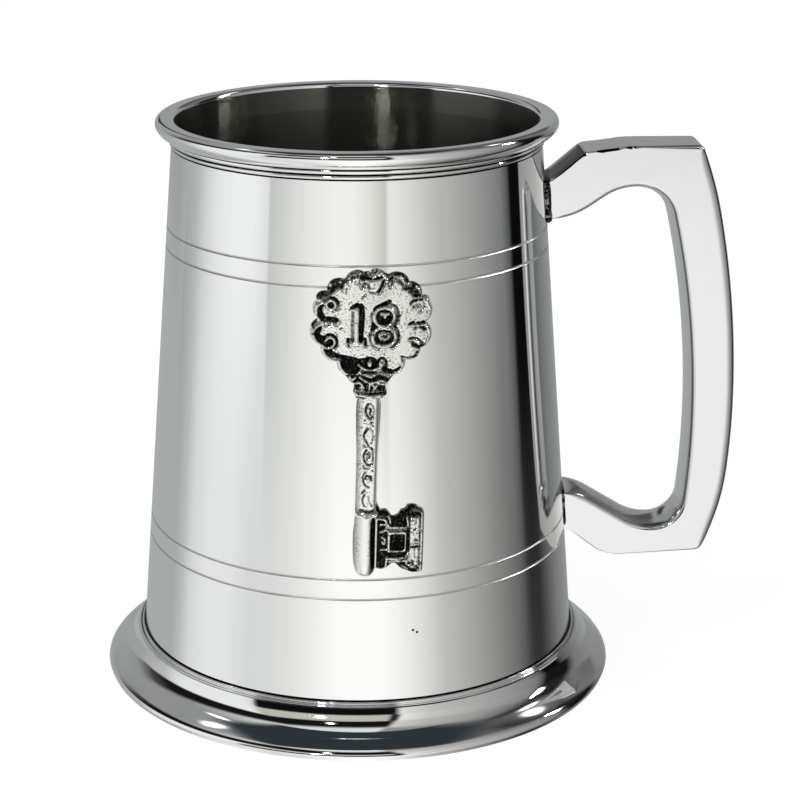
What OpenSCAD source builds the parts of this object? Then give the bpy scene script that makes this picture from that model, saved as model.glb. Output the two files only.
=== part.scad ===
// One-pint pewter tankard with a cast key badge.
// Origin on the tankard's axis at table level, +Z up, handle towards +X, badge towards -Y.

/* [Barrel] */
// Outside diameter of the barrel at the foot joint
barrel_foot_d = 92.2; // [84:0.2:100]
// Outside diameter of the barrel at the rim joint
barrel_rim_d = 76.2; // [68:0.2:84]
// Height of the barrel between its two joints
barrel_h = 104; // [90:0.5:130]
// Wall thickness of the barrel
barrel_wall = 1.4; // [0.8:0.1:2.2]
// Distance from the top of the barrel down to the first turned groove
upper_groove_drop = 16.3; // [10:0.1:20]
// Distance from the bottom of the barrel up to the lowest turned groove
lower_groove_rise = 21.2; // [12:0.1:24]
// Distance between the two grooves of a pair
groove_pitch = 4.1; // [2:0.1:6]
// Width of a turned groove
groove_w = 0.6; // [0.3:0.1:1.2]

/* [Rim moulding] */
// Height of the rim moulding
rim_h = 6; // [5.4:0.1:8]
// Outside diameter of the lip
lip_d = 82.8; // [81.6:0.1:86]
// Clear diameter of the mouth
mouth_d = 74.4; // [72.8:0.1:75]
// Radius of the outer edge of the lip
lip_edge_r = 0.8; // [0.5:0.1:1]
// Radius of the inner edge of the lip
lip_inner_r = 0.8; // [0.4:0.1:1]
// How far the top of the lip falls from its inner edge to its outer edge
lip_fall = 0.3; // [0:0.05:0.6]
// Height of the rounded flare under the lip
lip_flare_h = 2.7; // [2:0.1:3]
// Radius of the two fine beads below the flare
rim_bead_r = 0.5; // [0.3:0.05:0.6]

/* [Foot] */
// Outside diameter of the foot
foot_d = 109; // [106:0.5:120]
// Height of the foot
foot_h = 8.7; // [8:0.1:11]
// Sheet thickness of the foot
foot_wall = 1.5; // [1:0.1:2]
// How far the neck of the foot stands out from the barrel
foot_neck_out = 0.7; // [0.4:0.1:1.2]
// Radius of the hollow sweep of the foot
foot_sweep_r = 5.2; // [3.5:0.1:6]
// Radius of the rounded edge of the foot
foot_edge_r = 1.8; // [1.2:0.1:2.2]
// Height of the widest line of the foot above the table
foot_edge_lift = 0.2; // [0.1:0.1:1]
// Width of the ledge inside the foot that carries the floor
foot_ledge_w = 3; // [2:0.1:5]
// Number of fine reeds round the neck
foot_reeds = 3; // [2:1:4]
// Radius of one reed
foot_reed_r = 0.28; // [0.2:0.02:0.36]

/* [Floor] */
// Thickness of the floor disc
floor_t = 1.6; // [1:0.1:3]
// Clearance round the floor disc
floor_gap = 0.2; // [0.1:0.05:0.5]

/* [Handle] */
// How far the handle reaches out from the foot of the barrel
handle_stand = 33.4; // [29:0.2:40]
// Thickness of the handle across the grip
handle_t = 11.2; // [8:0.2:15]
// Depth of the grip from its outer to its inner face
grip_depth = 7.7; // [6:0.1:9]
// Radius of the long sweep of the grip
grip_sweep_r = 170; // [150:1:260]
// Height of the outermost point of the grip below the middle of the handle
grip_belly_drop = 10.5; // [6:0.5:14]
// Distance from the top of the barrel down to the top of the handle
handle_top_drop = 0.2; // [0:0.1:3]
// Distance from the bottom of the barrel up to the bottom of the handle
handle_bottom_rise = 15; // [12:0.5:20]
// Radius that rounds the outer edges of the grip
grip_edge_r = 1.6; // [0.8:0.1:2.4]
// Radius of the upper corner of the finger gap
gap_upper_r = 8.8; // [7:0.1:10]
// Radius of the lower corner of the finger gap
gap_lower_r = 7.8; // [6:0.1:9]
// Radius that rounds the heel of the handle
heel_r = 8; // [6:0.1:10]
// Thickness of the arm over the finger gap
upper_arm_t = 6.9; // [5:0.1:9]
// Thickness of the arm under the finger gap
lower_arm_t = 6.4; // [5:0.1:9]

/* [Handle roots] */
// Distance from the top of the handle down to the top of the upper root
upper_root_drop = 7.8; // [5:0.1:9]
// Height of the upper root where it meets the barrel
upper_root_h = 7.4; // [5:0.1:9]
// Distance from the barrel out to the shoulder of the handle
shoulder_out = 8.5; // [6:0.1:11]
// How far the shoulder lies below the top of the handle
shoulder_drop = 1.1; // [0.4:0.1:2]
// Distance from the shoulder out to the flat top of the handle
crest_out = 10; // [7:0.5:14]
// Distance from the bottom of the handle up to the bottom of the lower root
lower_root_rise = 6.6; // [4:0.1:8]
// Height of the lower root where it meets the barrel
lower_root_h = 6.8; // [5:0.1:9]
// Distance from the barrel out to the toe of the handle
toe_out = 8; // [5:0.1:11]
// Radius of the web under the upper root
upper_web_r = 17; // [10:0.5:18]
// Radius of the web over the lower root
lower_web_r = 10; // [6:0.5:12]

/* [Key badge] */
// Distance from the top of the barrel down to the centre of the bow
bow_drop = 26.5; // [24:0.5:32]
// Sideways shift of the centre of the bow
bow_shift = 1; // [-2:0.1:2]
// Lean of the key to the right, in degrees
key_lean = 1.8; // [0:0.1:4]
// Width of the bow over its scallops
bow_w = 23.6; // [21:0.2:25]
// Height of the bow over its scallops
bow_h = 20.8; // [19:0.2:22]
// Radius of one scallop
scallop_r = 2.1; // [1.9:0.05:2.4]
// Thickness of the badge plate
badge_t = 1.2; // [0.8:0.1:1.8]
// Height of the raised numerals and scroll rims above the plate
relief_h = 0.6; // [0.3:0.05:1]
// Width of the raised scroll rims
scroll_w = 0.55; // [0.4:0.05:0.8]
// Height of the numerals
numeral_h = 8.2; // [7:0.1:9]
// Width of the stroke of the numerals
stroke_w = 0.9; // [0.7:0.05:1.2]
// Distance between the middles of the two numerals
numeral_pitch = 5.2; // [4.6:0.1:6]
// How far the numerals lie below the centre of the bow
numeral_drop = 1.5; // [0:0.1:2]
// Length of the key from the centre of the bow to its tip
key_length = 51.2; // [46:0.2:56]
// Radius of the shank of the key
shank_r = 2.1; // [1.7:0.05:2.5]
// Length of the collar between the bow and the shank
collar_h = 5.4; // [4:0.1:7]
// Radius of the collar where it meets the bow
collar_r = 4; // [3.2:0.1:5]
// How far the bit stands out from the shank
bit_w = 9.6; // [8:0.1:11]
// Height of the bit along the shank
bit_h = 13.2; // [11:0.1:15]
// Length of the shank below the bit
shank_tip = 1; // [0.5:0.1:3]
// Width of the window and the notches in the bit
window_w = 3.6; // [2.6:0.1:4]
// Depth of the notches in the bit
notch_depth = 2.4; // [1.4:0.1:3]

/* [Solder] */
// Thickness of a soldered joint
solder_t = 0.3; // [0.2:0.05:0.5]
// How far the solder shows round a root of the handle
solder_show = 0.6; // [0.3:0.1:1]
// Leg of the solder fillet round the floor
fillet_leg = 1.4; // [0.8:0.1:2]

/* [Hidden] */
$fn = 96;
pewter = [0.78, 0.79, 0.78];
satin_pewter = [0.52, 0.53, 0.50];
dark_solder = [0.30, 0.30, 0.29];
antique_pewter = [0.62, 0.62, 0.60];
// Length that a cut runs past the faces it goes through
past = 1;
// Share of the largest possible round that a round may take
round_share = 0.98;

function polar(r, angle) = [r * cos(angle), r * sin(angle)];
// Direction of the line that leaves circle a and passes to the other side of circle b
function crossing(a, ra, b, rb, side) = atan2(b.y - a.y, b.x - a.x) + side * asin((ra + rb) / norm(b - a));
// Largest round, touching one line, that still leaves room for a round of radius r lying run and fall away
function round_limit(run, fall, r) = (pow(run, 2) + pow(fall, 2) - pow(r, 2)) / (2 * (fall + r));

// Barrel: a plain cone between the foot joint and the rim joint
barrel_z0 = foot_h + solder_t;
barrel_z1 = barrel_z0 + barrel_h;
barrel_lean = atan2((barrel_foot_d - barrel_rim_d) / 2, barrel_h);
function barrel_r(z) = barrel_foot_d / 2 - (z - barrel_z0) * tan(barrel_lean);
function barrel_bore_r(z) = barrel_r(z) - barrel_wall;
groove_zs = [
    barrel_z1 - upper_groove_drop,
    barrel_z1 - upper_groove_drop - groove_pitch,
    barrel_z0 + lower_groove_rise + groove_pitch,
    barrel_z0 + lower_groove_rise
];

// Rim moulding: two beads, a rounded flare and a softly rounded lip
rim_z0 = barrel_z1 + solder_t;
rim_z1 = rim_z0 + rim_h;
rim_seat_r = barrel_r(barrel_z1);
rim_bore_r = barrel_bore_r(barrel_z1);
lip_r = lip_d / 2;
mouth_r = mouth_d / 2;
lip_edge_c = [lip_r - lip_edge_r, rim_z1 - lip_fall - lip_edge_r];
lip_inner_c = [mouth_r + lip_inner_r, rim_z1 - lip_inner_r];
flare_z = lip_edge_c.y - lip_flare_h;
flare_in = (lip_r - rim_seat_r) / 2;
flare_r = (pow(flare_in, 2) + pow(lip_flare_h, 2)) / (2 * flare_in);
bead_pitch = (flare_z - rim_z0) / 2;
bead_c = [for (i = [0:1]) [rim_seat_r + flare_in * i / 2, rim_z0 + bead_pitch * (i + 1 / 2)]];

// Foot: reeds at the neck, a hollow sweep, a straight slope and a rounded edge
foot_r = foot_d / 2;
foot_neck_r = barrel_foot_d / 2 + foot_neck_out;
foot_reed_pitch = 2 * foot_reed_r;
foot_edge_c = [foot_r - foot_edge_r, foot_edge_lift];
foot_run = foot_edge_c.x - foot_neck_r;
foot_fall = foot_h - foot_reed_pitch - foot_edge_c.y;
foot_sweep = min(foot_sweep_r, round_share * round_limit(foot_fall, foot_run, foot_edge_r));
foot_sweep_c = [foot_neck_r + foot_sweep, foot_edge_c.y + foot_fall];
foot_slope = crossing(foot_sweep_c, foot_sweep, foot_edge_c, foot_edge_r, 1);
foot_sweep_end = foot_sweep_c + polar(foot_sweep, foot_slope - 90);
foot_edge_end = foot_edge_c + polar(foot_edge_r, foot_slope + 90);
foot_in = polar(foot_wall, foot_slope - 90);
foot_ledge_z = foot_h - foot_wall;
foot_bore_r = barrel_bore_r(barrel_z0) - foot_ledge_w;

floor_z1 = foot_h + floor_t;
floor_r = barrel_bore_r(floor_z1) - floor_gap;

// Handle: a grip between two long sweeps, with a web at each root
handle_z0 = barrel_z0 + handle_bottom_rise;
handle_z1 = barrel_z1 - handle_top_drop;
handle_reach = barrel_foot_d / 2 + handle_stand;
grip_c = [handle_reach - grip_sweep_r, (handle_z0 + handle_z1) / 2 - grip_belly_drop];
grip_inner_r = grip_sweep_r - grip_depth;
function on_sweep(r, z) = [grip_c.x + sqrt(pow(r, 2) - pow(z - grip_c.y, 2)), z];
gap_upper_c = on_sweep(grip_inner_r - gap_upper_r, handle_z1 - upper_arm_t - gap_upper_r);
gap_lower_c = on_sweep(grip_inner_r - gap_lower_r, handle_z0 + lower_arm_t + gap_lower_r);
heel_c = on_sweep(grip_sweep_r - heel_r, handle_z0 + heel_r);
upper_root_z1 = handle_z1 - upper_root_drop;
upper_root_z0 = upper_root_z1 - upper_root_h;
lower_root_z0 = handle_z0 + lower_root_rise;
lower_root_z1 = lower_root_z0 + lower_root_h;
upper_web_x = barrel_r(upper_root_z0);
lower_web_x = barrel_r(lower_root_z1);
upper_web_limit = round_limit(gap_upper_c.x - upper_web_x, gap_upper_c.y - upper_root_z0, gap_upper_r);
lower_web_limit = round_limit(gap_lower_c.x - lower_web_x, lower_root_z1 - gap_lower_c.y, gap_lower_r);
upper_web = min(upper_web_r, round_share * upper_web_limit);
lower_web = min(lower_web_r, round_share * lower_web_limit);
upper_web_c = [upper_web_x, upper_root_z0 + upper_web];
lower_web_c = [lower_web_x, lower_root_z1 - lower_web];
upper_slope = crossing(upper_web_c, upper_web, gap_upper_c, gap_upper_r, 1);
lower_slope = crossing(lower_web_c, lower_web, gap_lower_c, gap_lower_r, -1);
shoulder = [barrel_r(handle_z1) + shoulder_out, handle_z1 - shoulder_drop];
toe = [barrel_r(handle_z0) + toe_out, handle_z0];
root_in_x = rim_seat_r / 2;

// Key badge: laid out flat on the front of the barrel, bow centre at the origin
bow_z = barrel_z1 - bow_drop;
// Angle between scallops, and how many lie on each side of the top one
scallop_step = 26;
scallop_side = 6;
// Share of the numeral eight that its upper ring takes
eight_upper_share = 0.48;
bow_field_r = bow_h / 2 - scallop_r;
badge_top = solder_t + badge_t + relief_h;
collar_v1 = -bow_field_r;
collar_v0 = collar_v1 - collar_h;
tip_v = -key_length;
bit_v0 = tip_v + shank_tip;
bit_u1 = shank_r + bit_w;
window_u = shank_r + bit_w / 2;
window_v = bit_v0 + bit_h / 2;
function scallop_c(i) = [
    (bow_w / 2 - scallop_r) * cos(90 + scallop_step * i),
    (bow_h / 2 - scallop_r) * sin(90 + scallop_step * i)
];

// Solid inside the barrel's outer face, made larger by grow all round
module barrel_cone(grow) {
    translate([0, 0, barrel_z0])
        cylinder(h = barrel_h, r1 = barrel_r(barrel_z0) + grow, r2 = barrel_r(barrel_z1) + grow);
}

// Layer on the outside of the barrel, between two distances from its face
module barrel_layer(from, to) {
    difference() {
        barrel_cone(to);
        barrel_cone(from);
    }
}

module barrel() {
    color(pewter)
        rotate_extrude()
            difference() {
                polygon([
                    [barrel_bore_r(barrel_z0), barrel_z0],
                    [barrel_r(barrel_z0), barrel_z0],
                    [barrel_r(barrel_z1), barrel_z1],
                    [barrel_bore_r(barrel_z1), barrel_z1]
                ]);
                for (z = groove_zs)
                    translate([barrel_r(z), z])
                        circle(d = groove_w);
            }
}

// Rounded flare under the lip, cut level above and below
module rim_flare_section() {
    intersection() {
        translate([lip_r - flare_r, lip_edge_c.y])
            circle(r = flare_r);
        translate([rim_bore_r, flare_z])
            square([lip_r - rim_bore_r, lip_flare_h]);
    }
}

module rim_moulding() {
    color(pewter)
        rotate_extrude()
            union() {
                polygon([
                    [rim_bore_r, rim_z0],
                    [rim_seat_r, rim_z0],
                    [lip_r - flare_in, flare_z],
                    [lip_r, lip_edge_c.y],
                    [lip_edge_c.x, lip_edge_c.y + lip_edge_r],
                    [lip_inner_c.x, rim_z1],
                    [mouth_r, lip_inner_c.y]
                ]);
                rim_flare_section();
                translate(lip_edge_c)
                    circle(r = lip_edge_r);
                translate(lip_inner_c)
                    circle(r = lip_inner_r);
                for (c = bead_c)
                    translate(c)
                        circle(r = rim_bead_r);
            }
}

// Flat ring of solder between two edges
module solder_ring(z, r_in, r_out) {
    color(dark_solder)
        translate([0, 0, z])
            difference() {
                cylinder(h = solder_t, r = r_out);
                translate([0, 0, -past])
                    cylinder(h = solder_t + 2 * past, r = r_in);
            }
}

module rim_solder() {
    solder_ring(barrel_z1, rim_bore_r, rim_seat_r);
}

module foot_solder() {
    solder_ring(foot_h, barrel_bore_r(barrel_z0), barrel_r(barrel_z0));
}

// Outer outline of the foot down to the table
module foot_outline() {
    difference() {
        union() {
            polygon([
                [foot_bore_r, 0],
                [foot_edge_c.x, 0],
                foot_edge_c,
                foot_edge_end,
                foot_sweep_end,
                foot_sweep_c,
                [foot_neck_r, foot_sweep_c.y],
                [foot_neck_r, foot_h],
                [foot_bore_r, foot_h]
            ]);
            intersection() {
                translate(foot_edge_c)
                    circle(r = foot_edge_r);
                square([foot_r, foot_h]);
            }
        }
        translate(foot_sweep_c)
            circle(r = foot_sweep);
    }
}

// Open space under the foot
module foot_hollow() {
    difference() {
        polygon([
            [0, -past],
            [foot_edge_end.x + foot_in.x, -past],
            foot_edge_end + foot_in,
            foot_sweep_end + foot_in,
            foot_sweep_c,
            [foot_neck_r - foot_wall, foot_ledge_z],
            [0, foot_ledge_z]
        ]);
        translate(foot_sweep_c)
            circle(r = foot_sweep + foot_wall);
    }
}

module foot_ring() {
    color(pewter)
        rotate_extrude()
            difference() {
                union() {
                    foot_outline();
                    for (i = [0:foot_reeds - 1])
                        translate([foot_neck_r, foot_h - foot_reed_pitch * (i + 1 / 2)])
                            circle(r = foot_reed_r);
                }
                foot_hollow();
            }
}

module floor_disc() {
    color(satin_pewter)
        translate([0, 0, foot_h])
            cylinder(h = floor_t, r = floor_r);
}

module floor_solder() {
    color(dark_solder)
        rotate_extrude()
            polygon([
                [barrel_bore_r(floor_z1) - fillet_leg, floor_z1],
                [barrel_bore_r(floor_z1), floor_z1],
                [barrel_bore_r(floor_z1 + fillet_leg), floor_z1 + fillet_leg]
            ]);
}

// Space for the fingers between the grip and the barrel
module finger_gap() {
    upper_out = polar(gap_upper_r + grip_depth, atan2(gap_upper_c.y - grip_c.y, gap_upper_c.x - grip_c.x));
    lower_out = polar(gap_lower_r + grip_depth, atan2(gap_lower_c.y - grip_c.y, gap_lower_c.x - grip_c.x));
    intersection() {
        translate(grip_c)
            circle(r = grip_inner_r);
        union() {
            difference() {
                polygon([
                    [0, upper_root_z0],
                    [upper_web_x, upper_root_z0],
                    upper_web_c + polar(upper_web, upper_slope - 90),
                    gap_upper_c + polar(gap_upper_r, upper_slope + 90),
                    gap_upper_c,
                    gap_upper_c + upper_out,
                    gap_lower_c + lower_out,
                    gap_lower_c,
                    gap_lower_c + polar(gap_lower_r, lower_slope - 90),
                    lower_web_c + polar(lower_web, lower_slope + 90),
                    [lower_web_x, lower_root_z1],
                    [0, lower_root_z1]
                ]);
                translate(upper_web_c)
                    circle(r = upper_web);
                translate(lower_web_c)
                    circle(r = lower_web);
            }
            translate(gap_upper_c)
                circle(r = gap_upper_r);
            translate(gap_lower_c)
                circle(r = gap_lower_r);
        }
    }
}

// Side view of the handle, running on into the barrel
module handle_outline() {
    heel_out = polar(heel_r + grip_depth, atan2(heel_c.y - grip_c.y, heel_c.x - grip_c.x));
    difference() {
        intersection() {
            translate(grip_c)
                circle(r = grip_sweep_r);
            union() {
                polygon([
                    [root_in_x, upper_root_z1],
                    [barrel_r(upper_root_z1), upper_root_z1],
                    shoulder,
                    [shoulder.x + crest_out, handle_z1],
                    [handle_reach + past, handle_z1],
                    heel_c + heel_out,
                    heel_c,
                    [heel_c.x, handle_z0],
                    toe,
                    [barrel_r(lower_root_z0), lower_root_z0],
                    [root_in_x, lower_root_z0]
                ]);
                translate(heel_c)
                    circle(r = heel_r);
            }
        }
        finger_gap();
    }
}

// Disc as thick as the handle, with the rounded outer edge of the grip
module grip_sweep() {
    flat = handle_t / 2 - grip_edge_r;
    translate([grip_c.x, 0, grip_c.y])
        rotate([90, 0, 0])
            rotate_extrude()
                union() {
                    translate([0, -flat])
                        square([grip_sweep_r, 2 * flat]);
                    translate([0, -handle_t / 2])
                        square([grip_sweep_r - grip_edge_r, handle_t]);
                    for (side = [-1, 1])
                        translate([grip_sweep_r - grip_edge_r, side * flat])
                            circle(r = grip_edge_r);
                }
}

module handle() {
    color(pewter)
        difference() {
            intersection() {
                rotate([90, 0, 0])
                    linear_extrude(height = handle_t, center = true)
                        handle_outline();
                grip_sweep();
            }
            barrel_cone(solder_t);
        }
}

// Solder between a root of the handle and the barrel, showing a little all round
module root_solder(z0, z1) {
    width = handle_t + 2 * solder_show;
    color(dark_solder)
        intersection() {
            barrel_layer(0, solder_t);
            translate([0, -width / 2, z0 - solder_show])
                cube([handle_reach, width, z1 - z0 + 2 * solder_show]);
        }
}

module handle_upper_solder() {
    root_solder(upper_root_z0, upper_root_z1);
}

module handle_lower_solder() {
    root_solder(lower_root_z0, lower_root_z1);
}

// Puts a shape that is drawn flat, key upright, onto the front of the barrel
module on_front() {
    translate([bow_shift, -barrel_r(bow_z), bow_z])
        rotate([90 - barrel_lean, 0, 0])
            rotate([0, 0, -key_lean])
                children();
}

// Part of a layer of the barrel's face that lies behind a flat outline
module badge_layer(from, to) {
    intersection() {
        barrel_layer(from, to);
        on_front()
            translate([0, 0, -bow_w / 2])
                linear_extrude(height = bow_w)
                    children();
    }
}

module bow_outline() {
    circle(r = bow_field_r);
    for (i = [-scallop_side:scallop_side])
        translate(scallop_c(i))
            circle(r = scallop_r);
}

// Raised edge that follows the scallops
module scroll_rims() {
    difference() {
        bow_outline();
        circle(r = bow_field_r - scroll_w);
        for (i = [-scallop_side:scallop_side])
            translate(scallop_c(i))
                circle(r = scallop_r - scroll_w);
    }
}

module numeral_one() {
    foot_w = 3 * stroke_w;
    translate([-stroke_w / 2, -numeral_h / 2])
        square([stroke_w, numeral_h]);
    translate([-foot_w / 2, -numeral_h / 2])
        square([foot_w, stroke_w]);
    polygon([
        [0, numeral_h / 2],
        [-foot_w / 2, numeral_h / 2 - stroke_w],
        [-foot_w / 2, numeral_h / 2 - 2 * stroke_w],
        [0, numeral_h / 2 - stroke_w]
    ]);
}

module numeral_ring(r, v) {
    translate([0, v])
        difference() {
            circle(r = r);
            circle(r = r - stroke_w);
        }
}

// Two rings that share one stroke, the lower one a little larger
module numeral_eight() {
    rings = (numeral_h + stroke_w) / 2;
    upper_r = eight_upper_share * rings;
    lower_r = rings - upper_r;
    numeral_ring(upper_r, numeral_h / 2 - upper_r);
    numeral_ring(lower_r, lower_r - numeral_h / 2);
}

module numerals() {
    translate([-numeral_pitch / 2, -numeral_drop])
        numeral_one();
    translate([numeral_pitch / 2, -numeral_drop])
        numeral_eight();
}

module bit_outline() {
    difference() {
        translate([0, bit_v0])
            square([bit_u1, bit_h]);
        translate([window_u - window_w / 2, window_v - window_w / 2])
            square(window_w);
        for (v = [bit_v0, bit_v0 + bit_h])
            translate([window_u - window_w / 2, v - notch_depth])
                square([window_w, 2 * notch_depth]);
    }
}

// Round stem of the key, lying along the barrel: collar, lip, shank and rounded tip
module key_stem() {
    neck_r = (collar_r + shank_r) / 2;
    rotate([-90, 0, 0])
        rotate_extrude()
            polygon([
                [0, tip_v + shank_r],
                [shank_r, tip_v + shank_r],
                [shank_r, collar_v0 - scroll_w],
                [neck_r + scroll_w, collar_v0],
                [neck_r + scroll_w, collar_v0 + scroll_w],
                [neck_r, collar_v0 + 2 * scroll_w],
                [collar_r, collar_v1],
                [0, collar_v1]
            ]);
    translate([0, tip_v + shank_r])
        sphere(r = shank_r);
}

module key_badge() {
    color(antique_pewter) {
        badge_layer(solder_t, solder_t + badge_t) {
            bow_outline();
            bit_outline();
        }
        badge_layer(solder_t, badge_top) {
            scroll_rims();
            numerals();
        }
        difference() {
            on_front()
                key_stem();
            barrel_cone(solder_t);
        }
    }
}

module badge_solder() {
    color(dark_solder)
        badge_layer(0, solder_t) {
            bow_outline();
            bit_outline();
            translate([-shank_r, tip_v + shank_r])
                square([2 * shank_r, collar_v1 - tip_v]);
        }
}

barrel();
rim_moulding();
rim_solder();
foot_ring();
foot_solder();
floor_disc();
floor_solder();
handle();
handle_upper_solder();
handle_lower_solder();
key_badge();
badge_solder();
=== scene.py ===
"""Looks of a one-pint pewter tankard: turned barrel, rim and foot, cast handle and a cast key badge."""

import math
import random

import bmesh
import bpy
import numpy as np
from mathutils import Matrix, Vector, noise


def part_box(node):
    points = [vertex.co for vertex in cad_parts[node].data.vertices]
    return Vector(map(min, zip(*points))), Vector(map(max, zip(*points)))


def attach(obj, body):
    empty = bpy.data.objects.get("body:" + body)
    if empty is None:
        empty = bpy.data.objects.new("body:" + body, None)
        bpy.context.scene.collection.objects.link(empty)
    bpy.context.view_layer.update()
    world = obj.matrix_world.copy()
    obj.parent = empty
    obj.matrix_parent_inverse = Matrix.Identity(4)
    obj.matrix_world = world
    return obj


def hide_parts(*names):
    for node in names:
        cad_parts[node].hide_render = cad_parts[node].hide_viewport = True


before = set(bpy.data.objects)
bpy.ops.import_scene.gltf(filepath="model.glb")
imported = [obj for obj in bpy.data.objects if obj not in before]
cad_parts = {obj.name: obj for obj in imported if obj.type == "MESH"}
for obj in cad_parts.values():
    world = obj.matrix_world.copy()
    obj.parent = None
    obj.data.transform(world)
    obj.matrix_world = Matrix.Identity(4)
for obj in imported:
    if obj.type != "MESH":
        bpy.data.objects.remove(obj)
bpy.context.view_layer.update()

MM = 0.001

# Sizes below are in millimetres, and the driving ones come from the frame
barrel_lo, barrel_hi = [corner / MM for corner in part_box("barrel")]
rim_lo, rim_hi = [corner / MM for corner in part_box("rim_moulding")]
handle_lo, handle_hi = [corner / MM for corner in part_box("handle")]
foot_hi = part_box("foot_ring")[1] / MM
BARREL_Z0, BARREL_Z1 = barrel_lo.z, barrel_hi.z
BARREL_FOOT_R = barrel_hi.x
BARREL_RIM_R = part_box("rim_solder")[1].x / MM
BARREL_WALL = 1.4
SOLDER_T = rim_lo.z - BARREL_Z1
TAPER = (BARREL_FOOT_R - BARREL_RIM_R) / (BARREL_Z1 - BARREL_Z0)
# Two pairs of turned grooves. Their section is steps of half a width, and shares of the depth
GROOVE_ZS = (BARREL_Z1 - 16.3, BARREL_Z1 - 20.4, BARREL_Z0 + 25.3, BARREL_Z0 + 21.2)
GROOVE_W, GROOVE_D = 0.5, 0.14
GROOVE_SECTION = ((-1.4, 0), (-1, 0), (-0.5, 0.7), (0, 1), (0.5, 0.7), (1, 0), (1.4, 0))
LIP_R, MOUTH_R, THROAT_R = rim_hi.x, 37.2, 36.95
# The rim's bore starts this far out from the throat, behind the joint
BORE_STEP = 0.4
FOOT_R = foot_hi.x
# How far the handle's inner face swells
HANDLE_CROWN = 0.9
TURN_STEPS = 288
MERGE_WITHIN = 1e-5
# A turned face that looks inwards more than this is inside the cup
FACING_IN = -0.7
# Two small dark blemishes low on the front: their middles, and the radii of all and of the full dark
BARREL_SPECKS = ((9.21, -44.02, 23.46), (10.02, -43.89, 22.96))
SPECK_R, SPECK_FULL_R = 0.34, 0.2


def barrel_r(z):
    """Outside radius of the barrel at a height."""
    return BARREL_FOOT_R - (z - BARREL_Z0) * TAPER


def polar(centre, r, degrees):
    """Point on a circle."""
    angle = math.radians(degrees)
    return (centre[0] + r * math.cos(angle), centre[1] + r * math.sin(angle))


def arc(centre, r, start, end, steps):
    """Points on a round stretch, ends included, angles in degrees."""
    return [polar(centre, r, start + (end - start) * i / steps) for i in range(steps + 1)]


def sweep(start, tilt, stretches, steps):
    """Points along round stretches that run on: end tilts, and radii that are below zero where hollow."""
    points = [start]
    for end, r in stretches:
        points += arc(polar(points[-1], -r, tilt), r, tilt, end, steps)[1:]
        tilt = end
    return points


def srgb(code):
    """Linear colour, with alpha, of an sRGB hex value."""
    parts = [int(code[i:i + 2], 16) / 255 for i in (1, 3, 5)]
    return [p / 12.92 if p <= 0.04045 else ((p + 0.055) / 1.055) ** 2.4 for p in parts] + [1.0]


def add(tree, kind, inputs=(), stops=(), **settings):
    """Adds a node. Inputs are values, outputs or nodes (their first output), stops are (place, colour)."""
    made = tree.nodes.new("ShaderNode" + kind)
    for name, value in settings.items():
        setattr(made, name, value)
    for i, (place, colour) in enumerate(stops):
        ramp = made.color_ramp.elements
        stop = ramp[i] if i < 2 else ramp.new(place)
        stop.position = place
        stop.color = srgb(colour)
    for name, value in dict(inputs).items():
        if isinstance(value, bpy.types.Node):
            value = value.outputs[0]
        if isinstance(value, bpy.types.NodeSocket):
            tree.links.new(value, made.inputs[name])
        else:
            made.inputs[name].default_value = value
    return made


def new_material(name):
    """Material with an empty node tree."""
    material = bpy.data.materials.new(name)
    material.use_nodes = True
    material.node_tree.nodes.clear()
    return material, material.node_tree


def turned_pewter(name, shade, brightest, dullest):
    """Pewter turned on a lathe: a bright mirror where it is buffed, with faint rings and a slow waver."""
    material, tree = new_material(name)
    place = add(tree, "TexCoord").outputs["Object"]
    waver = add(tree, "TexNoise", {"Vector": place, "Scale": 1 / (22 * MM), "Detail": 1.0})
    wavy = add(tree, "Bump", {"Height": waver, "Strength": 0.06, "Distance": 0.5 * MM})
    axes = add(tree, "SeparateXYZ", {"Vector": place})
    tool_marks = {"W": axes.outputs["Z"], "Scale": 1 / (0.5 * MM), "Detail": 2.0}
    rings = add(tree, "TexNoise", tool_marks, noise_dimensions="1D")
    ringed = add(tree, "Bump", {"Height": rings, "Strength": 0.012, "Distance": 0.05 * MM, "Normal": wavy})
    haze = add(tree, "TexNoise", {"Vector": place, "Scale": 1 / (9 * MM), "Detail": 3.0})
    rough = add(tree, "MapRange", {"Value": haze, "To Min": brightest, "To Max": dullest})
    colour = srgb(shade)
    for speck in BARREL_SPECKS:
        away = add(tree, "VectorMath", {0: place, 1: Vector(speck) * MM}, operation="DISTANCE")
        near = {"Value": away.outputs["Value"], "From Min": SPECK_R * MM, "From Max": SPECK_FULL_R * MM}
        marked = {"Fac": add(tree, "MapRange", near), "Color1": colour, "Color2": srgb("#3C3C3A")}
        colour = add(tree, "MixRGB", marked)
    finish = {"Base Color": colour, "Metallic": 1.0, "Roughness": rough, "Normal": ringed}
    add(tree, "OutputMaterial", {"Surface": add(tree, "BsdfPrincipled", finish)})
    return material


def buffed_cast_pewter():
    """Cast pewter ground flat and buffed by hand: a mirror with a soft waver and a light haze."""
    material, tree = new_material("buffed_cast_pewter")
    place = add(tree, "TexCoord").outputs["Object"]
    waver = add(tree, "TexNoise", {"Vector": place, "Scale": 1 / (14 * MM), "Detail": 2.0})
    wavy = add(tree, "Bump", {"Height": waver, "Strength": 0.12, "Distance": 0.5 * MM})
    haze = add(tree, "TexNoise", {"Vector": place, "Scale": 1 / (5 * MM), "Detail": 4.0})
    rough = add(tree, "MapRange", {"Value": haze, "To Min": 0.06, "To Max": 0.14})
    finish = {"Base Color": srgb("#EAEAEB"), "Metallic": 1.0, "Roughness": rough, "Normal": wavy}
    add(tree, "OutputMaterial", {"Surface": add(tree, "BsdfPrincipled", finish)})
    return material


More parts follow.
